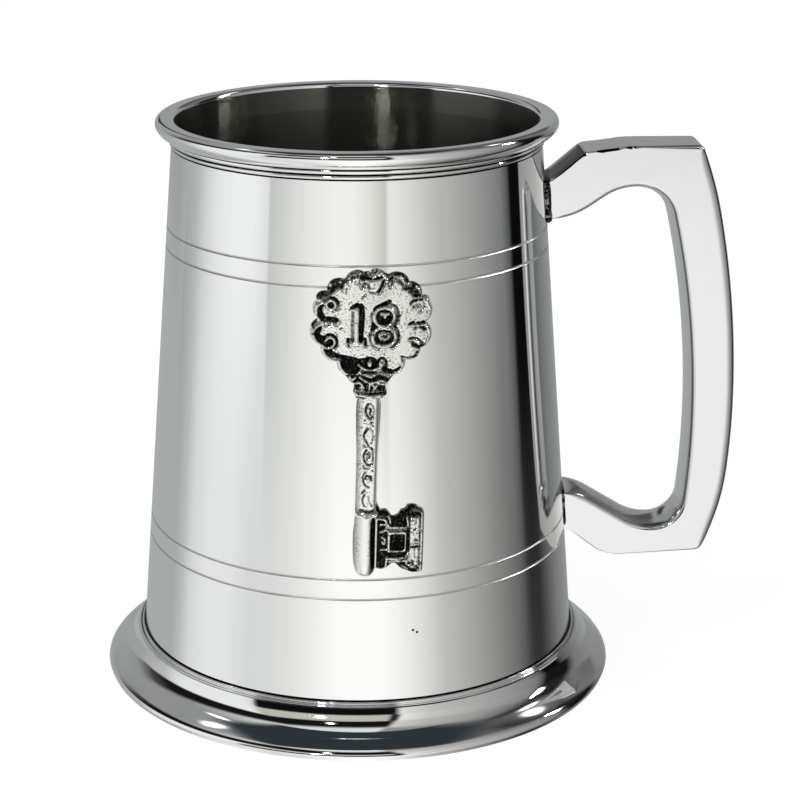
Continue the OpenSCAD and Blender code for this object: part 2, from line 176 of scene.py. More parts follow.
def spun_satin_pewter_painted_shade():
    """Pewter left as it came off the lathe, its fine rings drawing highlights out upright. Its dark grey is
    painted shade for the inside of the cup.
    """
    material, tree = new_material("spun_satin_pewter_painted_shade")
    place = add(tree, "TexCoord").outputs["Object"]
    haze = add(tree, "TexNoise", {"Vector": place, "Scale": 1 / (16 * MM), "Detail": 2.0})
    finish = {
        "Base Color": add(tree, "ValToRGB", {"Fac": haze}, ((0.3, "#76776E"), (0.7, "#8C8D84"))),
        "Metallic": 1.0,
        "Roughness": 0.26,
        "Anisotropic": 1.0,
        "Anisotropic Rotation": 0.25,
        "Tangent": add(tree, "Tangent", direction_type="RADIAL", axis="Z"),
    }
    add(tree, "OutputMaterial", {"Surface": add(tree, "BsdfPrincipled", finish)})
    return material


def soft_solder(name, grain_mm, dark, bright, bright_from):
    """Soft solder at the joints: dark, dull and pitted, with bright flecks where the buff has caught it."""
    material, tree = new_material(name)
    place = add(tree, "TexCoord").outputs["Object"]
    grain = add(tree, "TexNoise", {"Vector": place, "Scale": 1 / (grain_mm * MM), "Detail": 3.0})
    stops = ((bright_from - 0.12, dark), (bright_from + 0.08, bright))
    finish = {
        "Base Color": add(tree, "ValToRGB", {"Fac": grain}, stops),
        "Metallic": 1.0,
        "Roughness": 0.35,
        "Normal": add(tree, "Bump", {"Height": grain, "Strength": 0.6, "Distance": 0.2 * MM}),
    }
    add(tree, "OutputMaterial", {"Surface": add(tree, "BsdfPrincipled", finish)})
    return material


def antiqued_cast_pewter():
    """Cast pewter, blackened and rubbed back: bright high spots, sooty hollows and a pitted skin. Its black
    also carries painted shade.
    """
    material, tree = new_material("antiqued_cast_pewter")
    place = add(tree, "TexCoord").outputs["Object"]
    patina_and_painted_shade, pitted = [
        add(tree, "Attribute", attribute_name=name, attribute_type="GEOMETRY").outputs["Fac"]
        for name in ("patina_and_painted_shade", "pitted")
    ]
    pits = add(tree, "TexNoise", {"Vector": place, "Scale": 1 / (0.42 * MM), "Detail": 3.0})
    specks = add(tree, "MapRange", {"Value": pits, "From Min": 0.48, "From Max": 0.36, "To Max": 0.85})
    patches = add(tree, "TexNoise", {"Vector": place, "Scale": 1 / (4 * MM), "Detail": 2.0})
    worn = add(tree, "MapRange", {"Value": patches, "From Min": 0.35, "From Max": 0.65, "To Min": 0.35})
    share = add(tree, "Math", {0: worn, 1: pitted}, operation="MULTIPLY")
    spotted = add(tree, "Math", {0: specks, 1: share}, operation="MULTIPLY")
    # The black is rubbed thin in places, so the hollows are mottled
    rubbed = {"Value": pits, "From Min": 0.5, "From Max": 0.72, "To Min": 1.0, "To Max": 0.7}
    lain = add(tree, "Math", {0: patina_and_painted_shade, 1: add(tree, "MapRange", rubbed)}, operation="MULTIPLY")
    soot = add(tree, "Math", {0: lain, 1: spotted}, operation="ADD", use_clamp=True)
    stops = ((0.1, "#F7F6F2"), (0.92, "#141212"), (0.45, "#9A9993"))
    depth = add(tree, "Math", {0: pitted, 1: 0.3}, operation="MULTIPLY")
    finish = {
        "Base Color": add(tree, "ValToRGB", {"Fac": soot}, stops),
        "Metallic": 1.0,
        "Roughness": add(tree, "MapRange", {"Value": soot, "To Min": 0.15, "To Max": 0.42}),
        "Normal": add(tree, "Bump", {"Height": pits, "Strength": depth, "Distance": 0.12 * MM}),
    }
    add(tree, "OutputMaterial", {"Surface": add(tree, "BsdfPrincipled", finish)})
    return material


def finish_mesh(name, bm, materials, nodes, crease=20):
    """Makes a piece of a mesh, smooth but for creases, that rides on the tankard in place of its nodes."""
    bmesh.ops.remove_doubles(bm, verts=bm.verts, dist=MERGE_WITHIN)
    bmesh.ops.recalc_face_normals(bm, faces=bm.faces)
    # Only flat ends have many corners
    for face in bm.faces:
        face.smooth = len(face.verts) < 5
    for edge in bm.edges:
        edge.smooth = not edge.is_manifold or edge.calc_face_angle() < math.radians(crease)
    bmesh.ops.scale(bm, vec=(MM, MM, MM), verts=bm.verts)
    mesh = bpy.data.meshes.new(name)
    bm.to_mesh(mesh)
    bm.free()
    piece = bpy.data.objects.new(name, mesh)
    bpy.context.scene.collection.objects.link(piece)
    for material in materials:
        mesh.materials.append(material)
    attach(piece, "root")
    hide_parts(*nodes)


def turn(name, node, outline, materials, finish=None):
    """Turns a closed (r, z) outline about the axis. A finish picks among materials by place and tilt."""
    bm = bmesh.new()
    ring = [bm.verts.new((r, 0, z)) for r, z in outline]
    edges = [bm.edges.new(pair) for pair in zip(ring, ring[1:] + ring[:1])]
    bmesh.ops.spin(
        bm,
        geom=ring + edges,
        axis=(0, 0, 1),
        cent=(0, 0, 0),
        angle=math.tau,
        steps=TURN_STEPS,
        use_merge=True,
    )
    bmesh.ops.remove_doubles(bm, verts=bm.verts, dist=MERGE_WITHIN)
    bmesh.ops.recalc_face_normals(bm, faces=bm.faces)
    for face in bm.faces if finish else ():
        middle = face.calc_center_median()
        outward = Vector((middle.x, middle.y, 0)).normalized()
        face.material_index = finish(middle.xy.length, middle.z, face.normal.dot(outward))
    finish_mesh(name, bm, materials, [node])


def barrel_outline():
    """Section of the barrel wall: turned grooves outside, and inside a throat that eases into the rim."""
    outer = [(barrel_r(BARREL_Z0), BARREL_Z0)]
    for z in sorted(GROOVE_ZS):
        for step, depth in GROOVE_SECTION:
            height = z + step * GROOVE_W / 2
            outer.append((barrel_r(height) - depth * GROOVE_D, height))
    outer.append((barrel_r(BARREL_Z1), BARREL_Z1))
    ease = 2 * (THROAT_R - (BARREL_RIM_R - BARREL_WALL)) / TAPER
    shares = (0, 0.25, 0.5, 0.75, 1)
    throat = [(THROAT_R + TAPER * ease * share ** 2 / 2, BARREL_Z1 - ease * share) for share in shares]
    return outer + throat + [(barrel_r(BARREL_Z0) - BARREL_WALL, BARREL_Z0)]


def barrel_finish(r, z, outward):
    """Satin, darkened as painted shade, inside; dull in the grooves, where no buff reaches; polished
    elsewhere outside.
    """
    in_groove = min(abs(z - groove) for groove in GROOVE_ZS) < GROOVE_W / 2
    return 1 if outward < FACING_IN else 2 if in_groove else 0


def rim_outline():
    """Section of the rim: two beads with hollows over them, which the finish blackens as painted shade, a
    flare, a rolled lip and the bore.
    """
    z0, z1 = rim_lo.z, rim_hi.z - 0.4
    roll_r, flare_r, mouth_r = 1.3, 3.2, 1.1
    roll_c = (LIP_R - 0.1 - roll_r, z1 - roll_r)
    flare_top, flare_end = -25, -60
    flare_c = polar(roll_c, roll_r - flare_r, flare_top)
    bore_r = THROAT_R + BORE_STEP
    points = [(THROAT_R, BARREL_Z1), (bore_r, BARREL_Z1), (bore_r, z0), (BARREL_RIM_R - 0.1, z0)]
    points += arc((BARREL_RIM_R - 0.15, z0 + 0.42), 0.45, -70, 40, 12)
    points += [(BARREL_RIM_R - 0.05, z0 + 0.75), (BARREL_RIM_R - 0.05, z0 + 1.03)]
    points += arc((BARREL_RIM_R + 0.2, z0 + 1.6), 0.55, -80, 40, 14)
    points += [(BARREL_RIM_R + 0.35, z0 + 2.0), (BARREL_RIM_R + 0.35, z0 + 2.32)]
    points += arc(flare_c, flare_r, flare_end, flare_top, 10)
    points += arc(roll_c, roll_r, flare_top, 90, 24)[1:]
    points += arc((MOUTH_R + mouth_r, z1 - mouth_r - 0.05), mouth_r, 92, 180, 14)
    return points


def rim_finish(r, z, outward):
    """Satin, darkened as painted shade, in the bore; the dark joint solder as painted shade in the two
    hollows; polished elsewhere.
    """
    rise = z - rim_lo.z
    if r < BARREL_RIM_R - 0.5:
        return 1 if outward < FACING_IN and rise < 4.6 else 0
    # Painted shade: the two hollows take the dark joint solder
    lower_hollow_painted_shade = 0.71 < rise < 1.05 and r < BARREL_RIM_R + 0.15
    upper_hollow_painted_shade = 1.95 < rise < 2.34 and r < BARREL_RIM_R + 1.2
    return 2 if lower_hollow_painted_shade or upper_hollow_painted_shade else 0


def rim_joint_outline():
    """Section of the solder under the rim, just inside the barrel's face."""
    bore_r, z0, z1 = THROAT_R + BORE_STEP, BARREL_Z1, rim_lo.z
    return [(bore_r, z0), (BARREL_RIM_R - 0.04, z0), (BARREL_RIM_R - 0.06, z1), (bore_r, z1)]


def foot_joint_outline():
    """Section of the solder between barrel and foot, a little proud of the barrel."""
    r, inner_r, h = BARREL_FOOT_R, BARREL_FOOT_R - 1.2, foot_hi.z
    return [(inner_r, h), (r + 0.1, h), (r + 0.12, h + 0.6), (r - 0.1, h + 0.72), (inner_r, BARREL_Z0)]


def foot_outline():
    """Section of the foot: reeds at the neck, a hollow sweep, a gentle swell and a rounded edge."""
    h, wall = foot_hi.z, 1.5
    neck_r, seat_r = BARREL_FOOT_R + 0.7, BARREL_FOOT_R - BARREL_WALL - 3
    outside = sweep((neck_r + 0.85, h - 0.55), 12, ((61.5, -6.9), (54.3, 20), (32, 3), (0, 1)), 18)
    points = [(neck_r - 1, h), (neck_r - 0.65, h + 0.1)]
    points += arc((neck_r - 0.3, h + 0.12), 0.3, 130, -50, 14)
    points += arc((neck_r + 0.38, h - 0.35), 0.2, 120, 0, 8)
    points += outside
    points += [(outside[-1][0] - 0.3, 0), (FOOT_R - 2.2, 0)]
    hollow = [(r - wall * 0.5, z - wall * 0.9) for r, z in outside[::-4]]
    points += [(r, z) for r, z in hollow if z > 0.4 and r < FOOT_R - 2.4]
    return points + [(neck_r - wall, h - wall), (seat_r, h - wall), (seat_r, h)]


def fillet(before, corner, after, r, steps=8):
    """Points of a round of radius r that takes off a corner."""
    a, c, b = Vector(before), Vector(corner), Vector(after)
    one, two = (a - c).normalized(), (b - c).normalized()
    half = one.angle(two) / 2
    centre = c + (one + two).normalized() * r / math.sin(half)
    start = c + one * r / math.tan(half) - centre
    end = c + two * r / math.tan(half) - centre
    bend = start.angle_signed(end)
    return [tuple(centre + Matrix.Rotation(-bend * i / steps, 2) @ start) for i in range(steps + 1)]


def inner_tangent(a, ra, b, rb, side):
    """Direction in degrees of the line that leaves circle a and passes to the other side of circle b."""
    run, rise = b[0] - a[0], b[1] - a[1]
    return math.degrees(math.atan2(rise, run) + side * math.asin((ra + rb) / math.hypot(run, rise)))


def spaced(points, step):
    """Points with more put between where they are far apart."""
    found = []
    for a, b in zip(points, points[1:]):
        count = max(1, round(math.dist(a, b) / step))
        found += [tuple(Vector(a).lerp(Vector(b), i / count)) for i in range(count)]
    return found + [points[-1]]


def handle_outline():
    """Side view of the handle as (x, z, edge round, crown), from upper root round the outside to lower."""
    z0, z1, reach = handle_lo.z, handle_hi.z - 0.3, handle_hi.x
    belly_z = z0 + 33
    inner_sweep_r, depth = 190, 8.8
    inner_sweep_c = (reach - depth - inner_sweep_r, belly_z - 3)
    crisp, outer_round, corner_round, foot_round, inner_round = 0.25, 2.0, 0.8, 0.35, 0.7
    upper_top, upper_bottom = z1 - 7.5, z1 - 14.9
    lower_bottom, lower_top = z0 + 5.6, z0 + 13.4
    shoulder = (barrel_r(z1) + 8.5, z1 - 1.1)
    crest = (shoulder[0] + 9, z1)
    above_belly = sweep((reach, belly_z), 0, ((12, 200), (23.2, 75)), 16)
    below_belly = sweep((reach, belly_z), 0, ((-5.5, 160), (-24, 50)), 14)
    corner = above_belly[-1]
    heel = (reach - 6, z0 + 0.1)
    toe = (barrel_r(z0) + 8, z0 - 0.7)

    # Corners of the opening: a tight round by the grip that runs on into a wide one towards the barrel
    upper_x, upper_r, arch_r, upper_web_r = reach - 21.9, 8.15, 12.5, 15
    lower_x, lower_r, sill_r, lower_web_r = reach - 16.5, 6.85, 12, 10
    upper_rise = math.sqrt((inner_sweep_r - upper_r) ** 2 - (upper_x - inner_sweep_c[0]) ** 2)
    lower_drop = math.sqrt((inner_sweep_r - lower_r) ** 2 - (lower_x - inner_sweep_c[0]) ** 2)
    upper_c = (upper_x, inner_sweep_c[1] + upper_rise)
    lower_c = (lower_x, inner_sweep_c[1] - lower_drop)
    arch_c = (upper_x, upper_c[1] + upper_r - arch_r)
    sill_c = (lower_x, lower_c[1] - lower_r + sill_r)
    upper_web_c = (barrel_r(upper_bottom), upper_bottom + upper_web_r)
    lower_web_c = (barrel_r(lower_top), lower_top - lower_web_r)
    upper_slope = inner_tangent(upper_web_c, upper_web_r, arch_c, arch_r, 1)
    lower_slope = inner_tangent(lower_web_c, lower_web_r, sill_c, sill_r, -1)
    upper_turn = math.degrees(math.atan2(upper_rise, upper_x - inner_sweep_c[0]))
    lower_turn = math.degrees(math.atan2(-lower_drop, lower_x - inner_sweep_c[0]))

    start = (barrel_r(upper_top) + SOLDER_T, upper_top)
    end = (barrel_r(lower_bottom) + SOLDER_T, lower_bottom)
    top = [start] + fillet(start, shoulder, crest, 3) + fillet(shoulder, crest, corner, 20)
    top_corner = fillet(crest, corner, above_belly[-4], 1.6)
    outside = above_belly[-3::-1] + below_belly[1:]
    heel_corner = fillet(below_belly[-1], heel, toe, 2.4)
    bottom = fillet(heel, toe, end, 9) + [end]
    inside = [(barrel_r(lower_top) + SOLDER_T, lower_top)]
    inside += arc(lower_web_c, lower_web_r, 84, lower_slope + 90, 18)
    inside += arc(sill_c, sill_r, lower_slope - 90, -90, 16)[:-1]
    inside += arc(lower_c, lower_r, -90, lower_turn, 14)
    inside += arc(inner_sweep_c, inner_sweep_r, lower_turn + 1, upper_turn - 1, 30)
    inside += arc(upper_c, upper_r, upper_turn, 90, 14)
    inside += arc(arch_c, arch_r, 90, upper_slope + 90, 20)[1:]
    inside += arc(upper_web_c, upper_web_r, upper_slope - 90, -84, 18)
    inside += [(barrel_r(upper_bottom) + SOLDER_T, upper_bottom)]
    rounds = (
        (top, crisp, 0),
        (top_corner, corner_round, 0),
        (outside, outer_round, 0),
        (heel_corner, corner_round, 0),
        (bottom, foot_round, 0),
        (inside, inner_round, HANDLE_CROWN),
    )
    outline = [(x, z, edge, crown) for points, edge, crown in rounds for x, z in points]
    return spaced(outline, 1.2)


def cast_handle(material, dark_edge_coat):
    """Handle: rings of the side view, drawn in where edges round over, with roots shaped to the barrel."""
    half, ring_steps, flat_border, crown_border, root_fade = handle_hi.y, 10, 0.12, 0.3, 3
    smoothing, crisp_below, deep_nick = 10, 0.3, 0.36
    outline = handle_outline()
    count = len(outline)
    rounds = [edge for _, _, edge, _ in outline]
    for _ in range(smoothing):
        rounds = [(rounds[i - 1] + 2 * rounds[i] + rounds[(i + 1) % count]) / 4 for i in range(count)]
    nicks = random.Random(4)
    rounds = [edge * (1 + 1.4 * nicks.random() ** 2) if edge < crisp_below else edge for edge in rounds]
    dark_edges_above, slope_to, dark_edges_to = handle_hi.z - 10, barrel_r(handle_hi.z) + 8, handle_hi.x - 22
    inward = []
    for i in range(count):
        (x0, z0, *_), (x1, z1, *_) = outline[i - 1], outline[(i + 1) % count]
        inward.append(Vector((z1 - z0, x0 - x1)).normalized())
    over = [90 * k / ring_steps for k in range(ring_steps, -1, -1)]
    sections = [(-1, 90, flat_border)] + [(-1, turned, 0) for turned in over]
    sections += [(share, 0, 0) for share in (-0.5, 0, 0.5)]
    sections += [(1, turned, 0) for turned in reversed(over)] + [(1, 90, flat_border)]
    bm = bmesh.new()
    rings = []
    for side, turned, border in sections:
        ring = []
        for (x, z, _, crown), edge, into in zip(outline, rounds, inward):
            # The rounding dies away where the handle runs into its solder
            full = min(1, max(0.05, (x - barrel_r(z) - SOLDER_T) / root_fade))
            width = edge + crown * (half - edge - crown_border) / HANDLE_CROWN
            drawn_in = full * ((edge + crown) * (1 - math.cos(math.radians(turned))) - crown + border)
            y = side * (half - full * width * (1 - math.sin(math.radians(turned))))
            x, z = x + into.x * drawn_in, z + into.y * drawn_in
            root_r = barrel_r(z) + SOLDER_T
            if x < root_r + SOLDER_T:
                x = math.sqrt(root_r ** 2 - y ** 2)
            ring.append(bm.verts.new((x, y, z)))
        rings.append(ring)
    for k, (ring, following) in enumerate(zip(rings, rings[1:])):
        on_edge = 0 < k <= ring_steps or 0 < len(rings) - 1 - k <= ring_steps
        for i in range(count):
            face = bm.faces.new((ring[i - 1], ring[i], following[i], following[i - 1]))
            # The top edges are dark in places: they take the dark solder
            x, z, _, crown = outline[i]
            left = x < slope_to or x < dark_edges_to and rounds[i] > deep_nick
            face.material_index = int(on_edge and crown == 0 and z > dark_edges_above and left)
    bm.faces.new(rings[0])
    bm.faces.new(rings[-1])
    finish_mesh("cast_handle", bm, [material, dark_edge_coat], ["handle"], crease=32)


def root_solder(name, node, size, lumps, material):
    """Lumpy bead of solder run round a root of the handle."""
    lo, hi = [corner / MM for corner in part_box(node)]
    half_w, corner_r, sides, lump_size = handle_hi.y - 0.1, 1.2, 10, 2
    z_low, z_high = lo.z + SOLDER_T + 0.1, hi.z - SOLDER_T - 0.1
    corners = ((half_w, z_high), (-half_w, z_high), (-half_w, z_low), (half_w, z_low))
    path = []
    for quarter, (y, z) in enumerate(corners):
        middle = (y - math.copysign(corner_r, y), z - math.copysign(corner_r, z - (z_low + z_high) / 2))
        path += arc(middle, corner_r, 90 * quarter, 90 * quarter + 90, 6)
    path = spaced(path + path[:1], 0.35)[:-1]
    along = [Vector((math.sqrt((barrel_r(z) + SOLDER_T / 2) ** 2 - y * y), y, z)) for y, z in path]
    angles = [math.tau * k / sides for k in range(sides)]
    bm = bmesh.new()
    rings = []
    for i, point in enumerate(along):
        ahead = (along[(i + 1) % len(along)] - along[i - 1]).normalized()
        out = Vector((point.x, point.y, 0)).normalized()
        across = ahead.cross(out)
        r = size * (1 + lumps * noise.noise(point / lump_size))
        rings.append([bm.verts.new(point + r * (math.cos(a) * out + math.sin(a) * across)) for a in angles])
    for ring, following in zip(rings, rings[1:] + rings[:1]):
        for k in range(sides):
            bm.faces.new((ring[k - 1], ring[k], following[k], following[k - 1]))
    finish_mesh(name, bm, [material], [node], crease=60)


# Key badge, drawn flat with the middle of its bow at (0, 0), in millimetres
BOW_X, BOW_Z = 1.08, BARREL_Z1 - 26.65
KEY_LEAN = math.radians(1.8)
# Spacing of the casting's grid
CAST_STEP = 0.12
# Heights over the barrel: plain field, hollows, and the underside sunk in its solder
FIELD_H, HOLLOW_H, PLATE_UNDER = 1.4, 0.8, -0.15
# Corners of a grid that takes in the whole key
KEY_LOW, KEY_HIGH = (-12.6, -51.8), (12.6, 10.8)
# A line counts only this near it, and all else is taken to be this far off
NEAR, FAR = 1.5, 9.0
FINEST_RIDGE = 0.27
# Bow: middle height of its edge, radius, radius downwards, and how much wider than tall its border is
BOW_V, BOW_R, BOW_LOW_R, BOW_WIDER = -0.5, 10.0, 9.3, 1.04
CRUMB_COUNT = 34
SHANK_TOP = -15.0

# Lobes of the bow's edge: middle and radius
LOBES = (
    (0.8, 7.9, 2.1), (-2.9, 7.4, 2.3), (-6.4, 5.8, 2.2), (-9.1, 3.8, 1.6), (-9.1, 1.9, 2.2),
    (-9.0, -2.5, 2.75), (-7.0, -5.7, 2.6), (-3.7, -8.3, 2.75), (4.2, -8.1, 2.65), (7.5, -5.6, 2.2),
    (9.1, -2.8, 2.75), (9.4, 1.8, 2.45), (10.2, 3.6, 1.1), (7.3, 5.1, 2.4), (4.7, 6.9, 2.5),
)
# Outlines of the collar, the shank and the bit
COLLAR_EDGE = (
    (-4.4, -10.2), (-4.1, -11.6), (-3.6, -12.2), (-3.05, -12.5), (-3.05, -13.5), (-3.15, -14.2),
    (-2.6, -14.9), (-2.2, -15.4), (2.1, -15.4), (2.7, -15.0), (3.4, -14.4), (3.2, -13.4), (3.1, -12.7),
    (3.6, -12.0), (3.95, -11.5), (4.1, -10.2),
)
SHANK_EDGE = (
    (-2.15, -14.8), (-2.15, -27), (-2.15, -39), (-2.4, -42.5), (-2.35, -46.5), (-2.05, -49.2),
    (-1.3, -50.9), (0.2, -51.4), (1.3, -51.0), (1.95, -50.0), (2.15, -48), (2.1, -39), (2.05, -27),
    (2.05, -14.8),
)
BIT_EDGE = (
    (1.7, -35.6), (2.5, -37.1), (3.1, -37.6), (4.0, -37.6), (4.6, -38.2), (5.0, -38.8), (5.6, -38.95),
    (6.3, -38.7), (6.8, -38.1), (7.1, -37.75), (7.9, -37.5), (8.2, -36.95), (8.8, -36.75), (9.8, -36.85),
    (10.4, -37.4), (11.1, -37.75), (11.5, -38.6), (11.55, -41), (11.55, -47), (11.5, -50), (11.1, -50.5),
    (9.6, -50.6), (8.5, -50.2), (7.3, -49.7), (6.6, -49.1), (6.0, -48.6), (5.3, -48.6), (4.6, -49.2),
    (4.1, -49.5), (3.4, -49.7), (2.6, -49.6), (1.5, -49.0), (1.0, -44), (1.0, -38),
)

# Sunk places: how black, and the line round them
BOW_HOLLOWS = (
    (1.0, ((-9.2, 2.9), (-9.9, 2.9), (-10.35, 2.2), (-10.35, 1.2), (-10.0, 0.4), (-9.4, -0.1),
        (-8.0, -0.2), (-6.6, -0.3), (-6.3, 0.1), (-6.7, 0.5), (-7.8, 0.6), (-8.8, 0.6), (-9.2, 1.1),
        (-9.5, 1.7), (-9.5, 2.3))),
    (1.0, ((-9.7, -1.3), (-10.4, -1.8), (-10.8, -2.7), (-10.7, -3.5), (-10.2, -4.1), (-9.5, -4.6),
        (-9.0, -4.7), (-9.0, -4.0), (-8.7, -3.4), (-8.2, -2.9), (-9.1, -3.2), (-9.8, -3.0), (-9.8, -2.4),
        (-9.5, -1.8))),
    (1.0, ((-9.0, -4.7), (-8.7, -4.1), (-8.1, -3.7), (-7.5, -3.9), (-7.4, -4.4), (-7.9, -4.9),
        (-8.5, -5.0))),
    (1.0, ((-8.4, 3.0), (-8.1, 3.45), (-7.6, 3.45), (-7.25, 3.0), (-7.5, 2.55), (-8.0, 2.5))),
    (1.0, ((-8.9, -5.5), (-8.6, -6.3), (-8.0, -6.9), (-7.1, -7.2), (-6.0, -7.4), (-5.2, -7.6),
        (-4.4, -6.9), (-5.6, -6.7), (-6.7, -6.4), (-7.3, -6.1), (-7.6, -5.6), (-8.2, -5.7))),
    (1.0, ((-5.6, -7.6), (-5.6, -8.6), (-5.2, -9.3), (-4.4, -10.0), (-3.4, -10.3), (-2.5, -10.0),
        (-2.0, -9.3), (-2.2, -8.6), (-2.4, -7.4), (-3.6, -7.0), (-4.8, -7.0))),
    (1.0, ((-2.4, -7.5), (-1.2, -7.2), (0.0, -6.9), (1.0, -7.3), (1.3, -8.0), (1.4, -8.7), (0.0, -9.4),
        (-1.6, -8.8), (-2.3, -8.4))),
    (1.0, ((2.1, -9.2), (2.6, -8.9), (3.2, -9.1), (4.3, -9.5), (5.2, -9.2), (6.0, -8.7), (5.3, -9.7),
        (4.3, -10.0), (3.3, -10.1), (2.5, -9.8))),
    (0.97, ((-5.0, 9.2), (-4.2, 9.9), (-3.0, 10.2), (-1.3, 10.1), (-1.0, 9.0), (-1.3, 8.2), (-1.9, 7.9),
        (-2.6, 8.3), (-3.4, 8.45), (-4.2, 8.2), (-4.9, 7.6), (-5.3, 8.2))),
    (0.97, ((-8.6, 6.3), (-8.6, 7.2), (-7.8, 7.8), (-6.9, 8.0), (-6.2, 8.6), (-5.6, 9.2), (-5.0, 8.8),
        (-5.4, 7.7), (-5.5, 6.8), (-5.8, 6.2), (-6.4, 6.4), (-7.2, 6.5), (-8.0, 6.3))),
    (1.0, ((-10.8, 4.2), (-10.3, 5.0), (-9.5, 5.5), (-9.0, 5.7), (-8.9, 4.9), (-9.3, 4.3), (-10.0, 3.9))),
    (0.95, ((-1.2, 8.2), (0.2, 8.1), (1.7, 8.3), (2.0, 9.4), (1.3, 10.4), (-0.6, 10.4), (-1.2, 9.6))),
    (0.97, ((1.8, 10.2), (3.0, 9.7), (4.4, 9.7), (5.6, 9.3), (4.9, 8.7), (4.2, 8.4), (3.6, 7.9),
        (2.9, 8.0), (2.4, 8.6))),
    (0.95, ((6.4, 8.3), (7.3, 7.6), (8.4, 7.1), (9.4, 6.2), (8.9, 6.2), (8.0, 6.8), (7.2, 7.1),
        (6.5, 7.5))),
    (1.0, ((5.8, 6.2), (6.0, 6.8), (6.5, 6.6), (7.1, 6.7), (7.2, 6.2), (6.6, 6.1))),
)
# Blackened lines: half width, depth, how black, and the way
BOW_CUTS = (
    (0.15, 0.2, 0.7, ((-10.0, -1.3), (-9.2, -0.95), (-8.2, -1.0), (-7.2, -0.95))),
    (0.26, 0.4, 1.0, ((-8.9, 4.1), (-8.3, 4.35), (-7.6, 4.35), (-6.9, 4.0), (-6.5, 3.5))),
    (0.2, 0.3, 0.6, ((-6.5, 3.5), (-6.35, 2.9), (-6.7, 2.3), (-7.3, 2.0))),
    (0.28, 0.4, 1.0, ((-8.3, -2.95), (-7.6, -2.95), (-7.0, -3.3), (-6.65, -4.0), (-6.75, -4.7),
        (-7.1, -5.3))),
    (0.3, 0.5, 1.0, ((-10.7, -0.2), (-11.0, -0.8), (-11.2, -1.3))),
    (0.28, 0.4, 1.0, ((2.1, 7.9), (1.8, 6.9), (1.2, 5.8))),
    (0.28, 0.3, 0.75, ((-1.9, 6.7), (-1.5, 7.3), (-0.9, 7.2), (-0.6, 6.5))),
    (0.14, 0.15, 0.6, ((-0.7, 5.9), (0.1, 5.75), (0.9, 5.7))),
    (0.2, 0.2, 0.7, ((2.9, 7.4), (3.3, 6.8))),
    (0.2, 0.25, 0.9, ((3.8, 7.9), (3.6, 7.0))),
    (0.16, 0.15, 0.5, ((-2.9, 7.4), (-2.5, 7.5), (-2.4, 7.1))),
    (0.15, 0.15, 0.6, ((-5.0, 6.3), (-4.9, 5.8))),
    (0.15, 0.15, 0.7, ((-1.5, 5.1), (-1.3, 5.4))),
    (0.13, 0.15, 0.6, ((-1.9, 4.6), (-1.9, 4.9))),
    (0.16, 0.2, 0.8, ((-5.8, -1.4), (-5.6, -1.5))),
    (0.2, 0.3, 0.9, ((7.5, 3.45), (7.9, 3.9), (8.7, 4.15), (9.6, 4.1))),
    (0.16, 0.2, 0.5, ((9.9, 3.8), (10.1, 3.0), (9.8, 2.2), (9.2, 1.8))),
    (0.4, 0.25, 0.45, ((8.2, 2.75), (8.8, 2.9), (9.4, 2.9))),
    (0.22, 0.3, 1.0, ((7.3, -0.6), (7.8, -0.4), (8.2, -0.2))),
    (0.22, 0.3, 1.0, ((8.8, -0.4), (9.6, -0.4), (10.6, -0.4))),
    (0.18, 0.2, 0.6, ((8.3, -1.6), (9.0, -1.25), (9.9, -1.3))),
    (0.26, 0.3, 1.0, ((9.9, -1.3), (10.5, -1.7))),
    (0.2, 0.3, 0.9, ((7.4, -3.5), (8.0, -3.3), (9.0, -3.5), (9.8, -4.1), (10.0, -4.6))),
    (0.3, 0.45, 1.0, ((7.9, -4.3), (8.4, -4.8), (9.4, -5.0), (10.4, -4.9))),
    (0.18, 0.25, 0.8, ((9.1, -5.9), (8.8, -6.6), (8.2, -7.0), (7.2, -7.1), (6.1, -6.9))),
    (0.14, 0.2, 0.6, ((6.1, -7.0), (6.2, -7.9), (6.5, -8.5))),
    (0.22, 0.4, 1.0, ((1.4, -8.5), (1.5, -7.7), (2.2, -7.1), (2.9, -7.5), (3.1, -8.3), (2.9, -9.0))),
)
